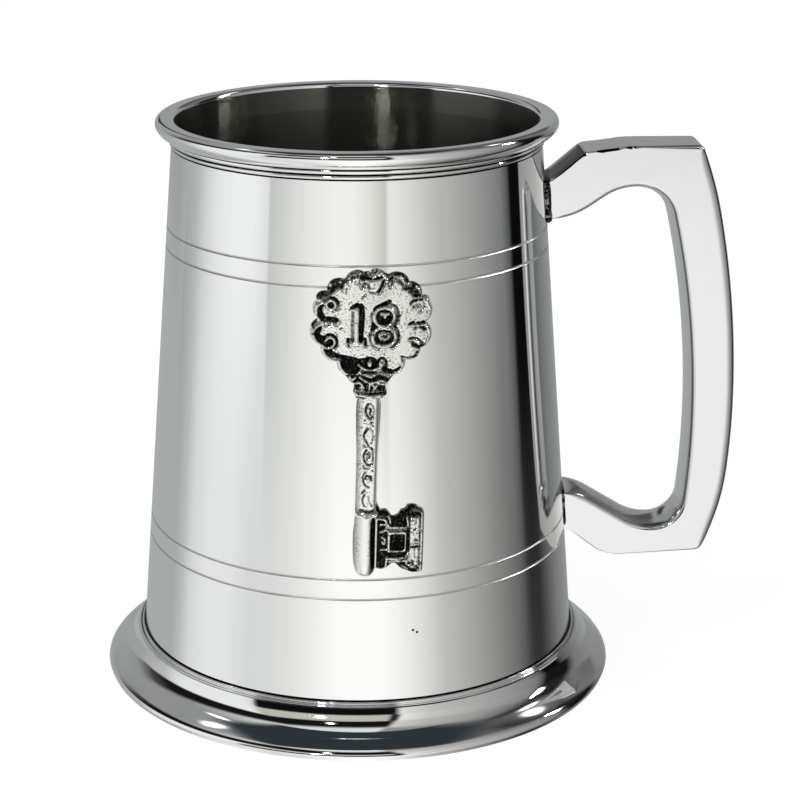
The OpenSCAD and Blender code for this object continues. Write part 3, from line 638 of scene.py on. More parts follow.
# Round ridges: half width, top, how black, and the way
BOW_BEADS = (
    (0.24, 1.95, 0.0, ((-7.4, 2.3), (-7.0, 3.0), (-7.4, 3.75), (-8.1, 3.85), (-8.7, 3.4), (-8.6, 2.6),
        (-8.0, 2.2), (-7.4, 2.3))),
    (0.25, 1.95, 0.0, ((-8.8, 3.2), (-9.5, 3.3), (-10.2, 2.9), (-10.6, 2.2), (-10.6, 1.3), (-10.4, 0.5),
        (-10.0, -0.1), (-9.3, -0.5), (-8.4, -0.6), (-7.4, -0.6), (-6.7, -0.65), (-6.2, -0.2))),
    (0.25, 1.95, 0.0, ((-8.4, -0.65), (-9.3, -0.75), (-10.2, -1.2), (-10.85, -1.9), (-11.1, -2.8),
        (-10.9, -3.6), (-10.4, -4.3), (-9.6, -4.9), (-8.9, -5.3), (-8.1, -5.4), (-7.4, -5.0),
        (-7.0, -4.4), (-7.1, -3.7), (-7.7, -3.3), (-8.3, -3.5), (-8.8, -4.1))),
    (0.26, 1.8, 0.0, ((-9.2, -5.8), (-8.9, -6.6), (-8.2, -7.3), (-7.2, -7.7), (-6.3, -8.0))),
    (0.24, 1.9, 0.0, ((-6.0, -8.0), (-5.8, -8.9), (-5.2, -9.8), (-4.5, -10.35), (-3.5, -10.6),
        (-2.5, -10.35), (-2.0, -9.7))),
    (0.2, 1.6, 0.2, ((-10.9, 3.7), (-10.6, 3.5))),
    (0.22, 1.6, 0.15, ((-8.5, 7.0), (-8.1, 6.7), (-7.9, 6.9))),
    (0.2, 1.6, 0.15, ((-6.3, 7.4), (-5.9, 7.8), (-5.6, 8.4))),
    (0.22, 1.6, 0.1, ((-5.0, 8.6), (-4.6, 9.1), (-4.2, 9.0))),
    (0.55, 1.25, 0.6, ((-3.9, 9.0), (-3.2, 9.2), (-2.6, 9.0))),
    (0.26, 1.75, 0.0, ((1.5, 9.5), (2.1, 8.9), (2.7, 8.2))),
    (0.5, 1.2, 0.65, ((3.2, 8.9), (4.0, 9.0))),
    (0.24, 1.7, 0.0, ((4.2, 8.7), (5.0, 8.6), (5.8, 8.0), (6.2, 7.3))),
    (0.2, 1.6, 0.1, ((6.9, 7.3), (7.4, 7.1))),
    (0.2, 1.6, 0.1, ((8.4, 6.6), (9.1, 6.0), (9.6, 5.2))),
    (0.5, 1.8, 0.0, ((10.5, 3.8), (10.7, 3.6))),
    (0.34, 1.75, 0.0, ((10.8, 3.2), (11.3, 2.4), (11.2, 1.6))),
    (0.25, 1.7, 0.0, ((7.3, -0.95), (9.0, -0.85), (10.7, -0.8))),
    (0.26, 1.7, 0.05, ((10.8, -1.3), (11.3, -2.2), (11.3, -3.2), (11.0, -4.2), (10.5, -4.7))),
    (0.24, 1.75, 0.0, ((8.1, -3.6), (8.7, -3.9), (9.3, -4.5))),
    (0.26, 1.7, 0.0, ((7.5, -4.2), (7.9, -5.1), (8.8, -5.5), (9.8, -5.6))),
    (0.24, 1.7, 0.0, ((9.7, -5.8), (9.4, -6.6), (8.8, -7.2))),
    (0.24, 1.7, 0.0, ((6.4, -8.0), (6.2, -8.9), (5.4, -9.8), (4.4, -10.3))),
    (0.2, 1.9, 0.0, ((-2.3, -8.4), (-1.6, -9.0), (-0.1, -9.65), (1.5, -9.0), (2.0, -9.0))),
    (0.55, 1.7, 0.0, ((-0.15, -8.2), (-0.1, -8.45))),
    (0.3, 1.45, 0.25, ((-0.1, -7.6), (-0.1, -8.0))),
    (0.55, 1.7, 0.0, ((2.1, -8.2), (2.1, -8.5))),
    (0.35, 1.45, 0.3, ((2.3, -7.6), (2.3, -8.0))),
    (0.3, 1.2, 0.6, ((-1.6, -7.8), (-1.4, -8.0))),
)
# Fine specks in the crest of the bow
CREST_SPECKS = (
    (-0.9, 9.3), (-0.5, 8.8), (-0.3, 9.5), (0.1, 9.1), (0.3, 9.8), (0.5, 8.7), (0.8, 9.3), (1.1, 9.8),
    (1.2, 8.9), (-0.7, 9.8), (1.5, 9.3), (0.0, 8.5),
)
# The number on the bow, listed in the same ways. The black above the 1's flag and down the right of its
# stem is painted shadow, and the grey line down its left is painted shade
NUMERAL_HOLLOWS = (
    (1.0, ((-4.2, 2.5), (-3.5, 3.1), (-2.9, 3.5), (-2.4, 3.3), (-2.3, 2.7), (-3.1, 2.6))),
    (1.0, ((-2.3, 3.1), (-1.9, 3.4), (-1.5, 2.6), (-1.4, 1.0), (-1.55, -2.0), (-1.7, -3.7), (-2.3, -3.8),
        (-2.3, 0))),
    (1.0, ((0.2, -0.5), (0.7, -0.5), (1.2, -1.0), (0.6, -1.4), (0.0, -1.9), (0.0, -1.2))),
    (1.0, ((0.3, 2.1), (0.7, 2.9), (1.6, 3.4), (2.6, 3.9), (3.5, 4.2), (3.6, 3.6), (2.6, 3.1), (1.5, 2.7),
        (0.9, 2.2))),
    (1.0, ((0.9, 1.0), (1.5, 2.2), (2.5, 2.5), (3.5, 2.2), (4.0, 1.0), (3.4, -0.2), (2.4, -0.6),
        (1.4, -0.2))),
    (0.95, ((0.6, -3.0), (1.3, -1.8), (2.4, -1.5), (3.6, -1.8), (4.3, -3.0), (3.9, -4.0), (2.4, -4.4),
        (1.0, -4.0))),
)
NUMERAL_CUTS = (
    (0.2, 0.25, 0.35, ((-3.65, 2.0), (-3.7, -1.0), (-3.6, -3.8))),
    (0.26, 0.4, 1.0, ((-4.4, -3.5), (-4.4, -4.0), (-4.15, -4.7))),
    (0.2, 0.3, 0.9, ((-4.0, -3.6), (-3.5, -3.7))),
    (0.26, 0.4, 1.0, ((-1.9, -3.7), (-1.2, -3.4), (-1.0, -4.6))),
    (0.22, 0.4, 0.75, ((3.8, 3.3), (4.6, 2.9), (5.1, 1.8), (5.0, 0.4), (4.4, -0.7))),
    (0.22, 0.4, 0.75, ((4.5, -0.9), (5.2, -2.0), (5.3, -3.2), (4.9, -4.3), (4.0, -5.0))),
    (0.2, 0.2, 0.4, ((0.0, 1.7), (-0.1, 0.6), (0.2, -0.4))),
    (0.2, 0.2, 0.45, ((-0.2, -2.2), (-0.2, -3.6), (0.5, -4.7), (1.6, -5.2))),
)
NUMERAL_BEADS = (
    (0.5, 1.95, 0.0, ((-2.87, 2.3), (-2.85, -1), (-2.85, -4.2))),
    (0.3, 1.85, 0.0, ((-4.0, 2.2), (-2.9, 2.3))),
    (0.42, 1.9, 0.0, ((-3.9, -4.4), (-2.8, -4.35), (-1.7, -4.4))),
    (0.36, 1.95, 0.0, ((2.4, 2.8), (3.7, 2.35), (4.35, 1.0), (3.7, -0.4), (2.4, -0.95), (1.1, -0.4),
        (0.5, 1.0), (1.1, 2.35), (2.4, 2.8))),
    (0.36, 1.95, 0.0, ((2.4, -1.15), (4.0, -1.6), (4.7, -3.0), (4.0, -4.3), (2.4, -4.75), (0.8, -4.3),
        (0.3, -3.0), (0.9, -1.6), (2.4, -1.15))),
    (0.42, 1.4, 0.15, ((1.8, 1.5), (2.5, 1.3), (3.2, 1.5))),
    (0.4, 1.4, 0.15, ((2.5, 1.4), (2.6, 0.8))),
    (0.5, 1.4, 0.3, ((1.6, -2.6), (2.5, -2.3), (3.4, -2.7), (3.0, -3.4), (2.0, -3.4), (1.6, -2.6))),
)
COLLAR_BEADS = (
    (0.22, 1.9, 0.0, ((-2.0, -10.0), (-1.2, -10.3), (0.1, -10.75), (1.2, -10.2), (1.8, -9.8),
        (2.4, -10.1), (3.3, -10.6), (4.0, -10.4))),
    (0.17, 1.75, 0.1, ((-2.0, -10.9), (-1.2, -11.5), (-0.2, -11.9), (1.0, -11.85), (2.2, -11.5),
        (3.0, -11.8))),
    (0.16, 1.6, 0.1, ((-3.9, -10.9), (-3.5, -11.5), (-2.8, -11.0))),
    (0.24, 1.95, 0.0, ((-3.6, -11.8), (-3.0, -12.1), (-2.2, -11.9), (-1.6, -12.3), (-1.15, -13.0))),
    (0.34, 1.7, 0.0, ((-1.7, -13.0), (-1.4, -13.3))),
    (0.22, 1.9, 0.0, ((3.5, -12.0), (2.6, -12.15), (1.8, -12.1), (1.2, -12.6), (0.7, -13.3))),
    (0.15, 1.7, 0.1, ((0.5, -12.3), (1.2, -13.2))),
    (0.16, 1.75, 0.1, ((0.0, -12.1), (-0.1, -13.4))),
    (0.14, 1.5, 0.45, ((-2.8, -13.5), (0.0, -13.85), (2.7, -13.5))),
    (0.4, 2.0, 0.0, ((-2.9, -14.1), (-1.6, -14.4), (0.0, -14.65), (1.4, -14.6), (2.3, -14.4))),
)
# Worn stamped strokes and specks down the shank
SHANK_CUTS = (
    (0.2, 0.25, 1.0, ((-0.2, -16.1), (-0.6, -16.9), (-0.6, -17.8), (-0.2, -18.6), (0.3, -19.0),
        (0.7, -18.6))),
    (0.12, 0.15, 0.6, ((0.7, -18.6), (0.95, -17.5), (0.8, -16.5), (0.3, -16.0), (-0.2, -16.1))),
    (0.16, 0.2, 1.0, ((0.1, -16.9), (0.35, -17.4), (0.1, -17.8), (0.3, -18.3))),
    (0.16, 0.2, 0.95, ((-0.2, -20.9), (-0.6, -21.5), (-0.9, -22.3), (-0.6, -23.2), (0.1, -24.4))),
    (0.12, 0.12, 0.5, ((0.2, -20.6), (0.8, -21.6), (0.9, -22.6), (0.5, -23.8))),
    (0.17, 0.2, 1.0, ((-0.3, -25.2), (-0.75, -26.1), (-0.75, -27.0), (-0.3, -27.9), (0.3, -28.2),
        (0.8, -28.0))),
    (0.14, 0.15, 0.8, ((0.9, -27.4), (1.05, -26.6), (0.8, -25.6))),
    (0.16, 0.15, 0.7, ((-0.1, -25.9), (0.3, -25.7), (0.3, -26.4), (-0.2, -27.1))),
    (0.15, 0.15, 0.85, ((-0.4, -29.6), (-0.85, -30.5), (-0.8, -31.4), (-0.4, -32.2), (0.3, -32.6))),
    (0.22, 0.25, 1.0, ((-0.4, -31.0), (-0.1, -30.4), (0.3, -30.6), (0.7, -30.6), (0.7, -31.1))),
    (0.13, 0.15, 0.95, ((-0.4, -34.1), (-0.8, -34.9), (-0.75, -35.7), (-0.3, -36.6))),
    (0.12, 0.12, 0.5, ((0.3, -34.4), (0.5, -35.4), (1.0, -36.4))),
    (0.16, 0.15, 0.8, ((-0.8, -19.2), (-0.8, -19.6))),
    (0.16, 0.15, 0.8, ((0.3, -19.9), (0.7, -19.6))),
    (0.14, 0.15, 0.6, ((0.6, -20.2), (0.8, -20.3))),
    (0.16, 0.15, 0.7, ((-0.9, -24.2), (-0.5, -24.5))),
    (0.2, 0.2, 1.0, ((0.6, -24.8), (1.0, -25.2))),
    (0.16, 0.15, 0.7, ((-0.9, -28.3), (-0.6, -28.9))),
    (0.14, 0.15, 0.6, ((-0.1, -28.9), (0.2, -28.8))),
    (0.14, 0.15, 0.6, ((0.9, -29.2), (1.0, -29.3))),
    (0.2, 0.15, 0.7, ((-0.9, -33.8), (-0.5, -33.3))),
    (0.28, 0.35, 1.0, ((-1.2, -37.4), (-0.6, -37.5), (0.4, -37.7), (1.4, -37.5))),
    (0.12, 0.15, 0.6, ((-0.6, -38.7), (0.4, -38.7), (1.2, -38.4))),
    (0.12, 0.15, 0.8, ((0.0, -38.1), (0.4, -38.1))),
)
BIT_BEADS = (
    (0.3, 1.7, 0.0, ((2.05, -39.2), (2.08, -44), (2.1, -49.0))),
    (0.2, 1.5, 0.0, ((2.2, -49.0), (2.7, -49.35), (3.4, -49.4), (4.0, -49.1), (4.2, -48.4),
        (4.25, -47.0))),
    (0.2, 1.6, 0.0, ((2.4, -39.2), (3.3, -39.3), (3.9, -39.6), (4.2, -40.3), (4.5, -40.6))),
    (0.2, 1.6, 0.0, ((4.4, -38.8), (4.7, -39.3), (4.8, -40.0))),
    (0.22, 1.6, 0.0, ((4.0, -40.9), (5.5, -41.0), (7.8, -41.0), (8.25, -40.7), (8.25, -39.9),
        (8.1, -39.0))),
    (0.2, 1.4, 0.0, ((3.0, -40.4), (3.8, -40.4))),
    (0.22, 1.4, 0.0, ((2.9, -41.9), (3.5, -41.9), (3.8, -41.5), (4.5, -41.8))),
    (0.24, 1.4, 0.0, ((3.2, -43.0), (3.7, -43.3), (3.9, -43.9), (3.6, -44.4), (3.3, -43.9))),
    (0.22, 1.4, 0.0, ((3.1, -45.5), (4.1, -45.5))),
    (0.26, 1.55, 0.05, ((4.5, -47.3), (6.2, -47.4), (7.8, -47.2))),
    (0.16, 1.4, 0.15, ((4.8, -47.95), (6.2, -47.9), (7.9, -47.9))),
    (0.26, 1.75, 0.0, ((9.0, -44.6), (10.6, -44.55))),
    (0.16, 1.75, 0.0, ((10.9, -38.1), (11.1, -39), (11.1, -44), (11.05, -49.8))),
    (0.2, 1.3, 0.5, ((9.1, -37.8), (10.0, -37.8), (10.8, -38.1))),
    (0.3, 1.15, 0.75, ((2.7, -38.8), (4.0, -38.8))),
    (0.22, 1.35, 0.15, ((8.3, -48.0), (8.9, -48.9), (9.5, -49.3))),
    (0.22, 1.35, 0.15, ((9.9, -48.4), (10.1, -49.2), (10.6, -49.9))),
    (0.2, 1.3, 0.25, ((7.6, -49.0), (8.4, -49.6))),
)
BIT_CUTS = (
    (0.2, 0.4, 1.0, ((9.0, -45.05), (9.8, -45.1), (10.6, -45.0))),
    (0.12, 0.2, 0.75, ((10.7, -38.6), (10.7, -44), (10.65, -49.2))),
    (0.18, 0.2, 1.0, ((9.8, -41.5), (10.0, -41.5))),
    (0.18, 0.2, 1.0, ((9.8, -43.7), (10.2, -43.7))),
    (0.12, 0.15, 0.7, ((8.9, -39.3), (9.2, -39.5))),
    (0.12, 0.15, 0.6, ((8.8, -42.0), (9.3, -42.0))),
    (0.12, 0.12, 0.5, ((9.9, -39.0), (9.9, -40.4))),
    (0.12, 0.12, 0.5, ((9.8, -45.6), (9.9, -47.2))),
    (0.26, 0.3, 1.0, ((8.6, -48.4), (8.8, -48.4))),
    (0.24, 0.3, 1.0, ((9.4, -48.1), (9.5, -48.7))),
    (0.2, 0.3, 0.9, ((10.3, -49.0), (10.4, -49.6))),
)


def curve(points, closed=False, steps=5):
    """Smooth line through points."""
    last, found = len(points), []
    for i in range(last if closed else last - 1):
        reach = [(i + k) % last if closed else min(max(i + k, 0), last - 1) for k in (-1, 0, 1, 2)]
        a, b, c, d = [Vector(points[k]) for k in reach]
        for step in range(steps):
            t = step / steps
            found.append((2 * b + (c - a) * t + (2 * a - 5 * b + 4 * c - d) * t ** 2
                          + (3 * b - a - 3 * c + d) * t ** 3) / 2)
    return found + [Vector(points[0] if closed else points[-1])]


def line_distance(u, v, points):
    """Distance from a line through points, looked for near it only."""
    lows, highs = [[pick(p[i] for p in points) for i in (0, 1)] for pick in (min, max)]
    near = (u > lows[0] - NEAR) & (u < highs[0] + NEAR) & (v > lows[1] - NEAR) & (v < highs[1] + NEAR)
    at_u, at_v = u[near], v[near]
    best = np.full_like(at_u, FAR)
    for (u0, v0), (u1, v1) in zip(points, points[1:]):
        du, dv = u1 - u0, v1 - v0
        along = np.clip(((at_u - u0) * du + (at_v - v0) * dv) / (du * du + dv * dv + 1e-9), 0, 1)
        best = np.minimum(best, np.hypot(at_u - u0 - along * du, at_v - v0 - along * dv))
    away = np.full_like(u, FAR)
    away[near] = best
    return away


def area_distance(u, v, points):
    """Distance from a closed shape, below zero inside it."""
    around = curve(points, closed=True)
    inside = np.zeros(u.shape, bool)
    for (u0, v0), (u1, v1) in zip(around, around[1:]):
        if v0 != v1:
            inside ^= ((v0 > v) != (v1 > v)) & (u < (u1 - u0) * (v - v0) / (v1 - v0) + u0)
    away = line_distance(u, v, around)
    return np.where(inside, -away, away)


def slab_distance(u, v, u0, u1, v0, v1, r=0.0):
    """Distance from a rectangle with rounded corners, below zero inside it."""
    du = np.abs(u - (u0 + u1) / 2) - (u1 - u0) / 2 + r
    dv = np.abs(v - (v0 + v1) / 2) - (v1 - v0) / 2 + r
    return np.hypot(np.maximum(du, 0), np.maximum(dv, 0)) + np.minimum(np.maximum(du, dv), 0) - r


def bow_distance(u, v):
    """Distance from the scalloped edge of the bow."""
    tall = np.where(v > BOW_V, BOW_R, BOW_LOW_R)
    edge = (np.hypot(u / BOW_R, (v - BOW_V) / tall) - 1) * BOW_LOW_R
    for lobe_u, lobe_v, r in LOBES:
        edge = np.minimum(edge, np.hypot(u - lobe_u, v - lobe_v) - r)
    return edge


def key_distance(u, v):
    """Distance from the outline of the whole key, below zero on it."""
    edge = bow_distance(u, v)
    for outline in (COLLAR_EDGE, SHANK_EDGE, BIT_EDGE):
        edge = np.minimum(edge, area_distance(u, v, outline))
    return edge


class Relief:
    """Height of a casting over its flat plan, how black it is, and how pitted."""

    def __init__(self, u, v):
        self.u, self.v = u, v
        self.height = np.full_like(u, FIELD_H)
        self.black = np.zeros_like(u)
        self.pits = np.ones_like(u)

    def inside(self, distance, edge):
        """One inside a shape, nought outside it, with a soft edge."""
        share = np.clip(0.5 - distance / edge, 0, 1)
        return share * share * (3 - 2 * share)

    def level(self, distance, height, black, edge=0.3):
        """Takes the casting to one height inside a shape."""
        share = self.inside(distance, edge)
        self.height += (height - self.height) * share
        self.black += (black - self.black) * share

    def hollows(self, shapes):
        """Sunk places."""
        for black, points in shapes:
            self.level(area_distance(self.u, self.v, points), HOLLOW_H, black)

    def cuts(self, lines):
        """Blackened lines."""
        for half_w, depth, black, points in lines:
            share = np.exp(-((line_distance(self.u, self.v, curve(points)) / half_w) ** 2))
            self.height -= depth * share
            self.black = np.maximum(self.black, np.clip(1.3 * share, 0, 1) * black)

    def beads(self, lines):
        """Round ridges."""
        for half_w, top, black, points in lines:
            half_w = max(half_w, FINEST_RIDGE)
            away = line_distance(self.u, self.v, curve(points))
            ridge = top - half_w * (1 - np.sqrt(np.clip(1 - (away / half_w) ** 2, 0, 1)))
            self.height = np.where((away < half_w) & (ridge > self.height), ridge, self.height)
            self.black += (black - self.black) * self.inside(away - half_w + 0.05, 0.2)


def cast_stem(relief):
    """Black collar with its leaves, the shank with its stamped panel, and the plain round end."""
    u, v = relief.u, relief.v
    relief.level(np.maximum(area_distance(u, v, COLLAR_EDGE), v + 10.5), 1.05, 0.95)
    relief.beads(COLLAR_BEADS)
    on_shank = (v < SHANK_TOP) & (np.abs(u) < 2.45)
    half_w = np.interp(-v, (15, 39, 42.5, 46.5, 49.2, 51.5), (2.2, 2.2, 2.45, 2.4, 2.1, 1.2))
    barrelled = np.sqrt(np.clip(1 - (u / half_w) ** 2, 0, 1))
    section = 0.3 + 1.75 * barrelled
    stamped = v > -37.3
    section = np.where(stamped, np.minimum(section, 1.72), section)
    section *= np.sqrt(np.clip(1 - np.clip((-48.6 - v) / 2.9, 0, 1) ** 2, 0.02, 1))
    on_shank &= (u < 1.75) | (v > -36.5) | (v < -49.3)
    relief.height = np.where(on_shank, section, relief.height)
    # Painted shade: the shank is greyed down its left side, and its plain end darkened down its right
    left_side_painted_shade = np.clip((-0.9 - u) / 1.0, 0, 1) * 0.36
    right_side_painted_shade = np.clip((u - 0.3) / 1.3, 0, 1) * 0.8
    relief.black = np.where(on_shank, left_side_painted_shade + np.where(v < -39.2, right_side_painted_shade, 0.0), relief.black)
    shank_pits = np.where(u < 2.2, np.where(v > -39, 0.5, 0.2), 1.0)
    relief.pits = np.where(v < SHANK_TOP, shank_pits, relief.pits)
    ring = [(-2.1, -38.35), (0, -38.6), (1.9, -38.3)]
    relief.beads([(0.5, 2.15, 0.0, ring)])
    relief.cuts(SHANK_CUTS)
    # Painted shadow: a sunk black strip in the gap between the plain end and the bit
    seam = ((1.1, -39.7), (1.65, -39.3), (1.7, -44), (1.7, -49), (1.3, -49.2), (1.05, -44))
    relief.level(area_distance(u, v, seam), 0.5, 1.0, 0.2)


def cast_bit(relief):
    """Bit: black sunk panels with cast teeth, a framed window and a bright pitted outer column."""
    u, v = relief.u, relief.v
    tooth = ((8.2, -46.5), (8.9, -46.3), (9.2, -47.8), (8.6, -49.0), (7.9, -48.2))
    relief.level(np.maximum(area_distance(u, v, BIT_EDGE), 1.9 - u), 0.95, 1.0)
    relief.level(slab_distance(u, v, 8.7, 11.2, -49.4, -39.0, 0.4), 1.45, 0.0, 0.5)
    relief.level(area_distance(u, v, tooth), 1.2, 0.3)
    relief.level(slab_distance(u, v, 4.6, 8.2, -41.8, -41.2), 1.1, 0.6)
    relief.level(slab_distance(u, v, 4.3, 8.05, -46.05, -41.85, 0.4), 1.6, 0.0, 0.2)
    relief.level(slab_distance(u, v, 4.95, 7.65, -45.6, -42.45, 0.25), 0.3, 1.0, 0.2)
    relief.beads(BIT_BEADS)
    relief.cuts(BIT_CUTS)


def blurred(field, passes):
    """Field averaged with its neighbours, over and over."""
    for _ in range(passes):
        wide = np.pad(field, 1, mode="edge")
        field = field / 2 + (wide[:-2, 1:-1] + wide[2:, 1:-1] + wide[1:-1, :-2] + wide[1:-1, 2:]) / 8
    return field


def key_relief(u, v):
    """Height, blackness and pits of the whole key over its plan."""
    relief = Relief(u, v)
    relief.hollows(BOW_HOLLOWS + NUMERAL_HOLLOWS)
    # Painted shade: the band at the top of the bow, outside its middle ring, is sunk and blackened where
    # its upward faces go dark
    relief.level(np.maximum(8.9 - np.hypot(u / BOW_WIDER, v), 4.6 - v), 1.0, 0.92, 0.5)
    relief.cuts(BOW_CUTS + NUMERAL_CUTS)
    relief.beads(BOW_BEADS + NUMERAL_BEADS)
    specks = [(spot, (spot[0] + 0.12, spot[1] + 0.1)) for spot in CREST_SPECKS]
    relief.beads([(FINEST_RIDGE, 1.5, 0.05, speck) for speck in specks])
    crumbs = random.Random(11)
    for _ in range(CRUMB_COUNT):
        bearing, out = math.radians(crumbs.uniform(38, 158)), crumbs.uniform(8.6, 9.9)
        spot = (out * BOW_WIDER * math.cos(bearing), out * math.sin(bearing))
        tail = (spot[0] + crumbs.uniform(-0.5, 0.5), spot[1] + crumbs.uniform(-0.3, 0.3))
        relief.beads([(FINEST_RIDGE, crumbs.uniform(1.05, 1.5), crumbs.uniform(0.2, 0.75), (spot, tail))])
    cast_bit(relief)
    cast_stem(relief)
    height = blurred(relief.height, 1)
    # Painted shade: the casting is darkened where it lies lower than its surroundings, and softly round its
    # black places
    shade = np.clip((blurred(height, 40) - height) / 0.4, 0, 0.5)
    around = blurred(relief.black, 60)
    black = np.clip(np.maximum(blurred(relief.black, 1), shade + 0.25 * around), 0, 1)
    # The casting rounds over at its outline
    edge = np.clip(-key_distance(u, v) / 0.45, 0, 1)
    height = height * np.sqrt(np.clip(1 - (1 - edge) ** 2, 0.1, 1))
    return height, black, relief.pits * np.clip(0.6 + 2.5 * around, 0, 1)


def cast_key_badge(material):
    """Key badge: a fine grid cut to the outline, drawn out to a plate, and laid in relief on the barrel."""
    low, high = Vector(KEY_LOW), Vector(KEY_HIGH)
    columns, rows = [int((high[i] - low[i]) / CAST_STEP) + 1 for i in (0, 1)]
    bm = bmesh.new()
    middle, half = (low + high) / 2, (high - low) / 2
    to_plan = Matrix.Translation((middle.x, middle.y, 0)) @ Matrix.Diagonal((half.x, half.y, 1, 1))
    bmesh.ops.create_grid(bm, x_segments=columns - 1, y_segments=rows - 1, size=1, matrix=to_plan)
    plan = np.array([v.co.xy for v in bm.verts])
    outside = key_distance(plan[:, 0], plan[:, 1]) > CAST_STEP * 0.45
    bmesh.ops.delete(bm, geom=[v for v, out in zip(bm.verts, outside) if out], context="VERTS")
    bmesh.ops.delete(bm, geom=[v for v in bm.verts if not v.link_faces], context="VERTS")

    # The stepped border is drawn onto the outline
    rim = [v for v in bm.verts if v.is_boundary]
    tiny = 1e-3
    for _ in range(3):
        at_u, at_v = np.array([v.co.xy for v in rim]).T
        away = key_distance(at_u, at_v)
        steps = ((tiny, 0), (0, tiny))
        slopes = [(key_distance(at_u + du, at_v + dv) - away) / tiny for du, dv in steps]
        moves = np.clip(away, -CAST_STEP / 2, CAST_STEP / 2) * np.array(slopes)
        for v, move in zip(rim, moves.T):
            v.co.x -= move[0]
            v.co.y -= move[1]
    drawn = bmesh.ops.extrude_face_region(bm, geom=bm.faces[:])
    front = [g for g in drawn["geom"] if isinstance(g, bmesh.types.BMVert)]
    bmesh.ops.translate(bm, vec=(0, 0, 1), verts=front)

    at_u, at_v, at_top = np.array([v.co for v in bm.verts]).T
    us, vs = np.linspace(low.x, high.x, columns), np.linspace(low.y, high.y, rows)
    fields = key_relief(*np.meshgrid(us, vs))
    column = np.clip((at_u - low.x) / (us[1] - us[0]), 0, columns - 1.001)
    row = np.clip((at_v - low.y) / (vs[1] - vs[0]), 0, rows - 1.001)
    c, r = column.astype(int), row.astype(int)
    fc, fr = column - c, row - r
    rise, black, pits = [
        (f[r, c] * (1 - fc) + f[r, c + 1] * fc) * (1 - fr)
        + (f[r + 1, c] * (1 - fc) + f[r + 1, c + 1] * fc) * fr
        for f in fields
    ]
    rise = np.where(at_top > 0.5, rise, PLATE_UNDER)
    x = BOW_X + at_u * math.cos(KEY_LEAN) + at_v * math.sin(KEY_LEAN)
    z = BOW_Z + (at_v * math.cos(KEY_LEAN) - at_u * math.sin(KEY_LEAN)) * math.cos(math.atan(TAPER))
    y = -np.sqrt((barrel_r(z) + rise) ** 2 - x ** 2)
    patina_and_painted_shade = bm.verts.layers.float.new("patina_and_painted_shade")
    pitted = bm.verts.layers.float.new("pitted")
    for i, v in enumerate(bm.verts):
        v.co = (x[i], y[i], z[i])
        v[patina_and_painted_shade] = black[i]
        v[pitted] = pits[i]
    nodes = ["key_badge", "badge_solder"]
    finish_mesh("cast_key_badge", bm, [material], nodes, crease=75)


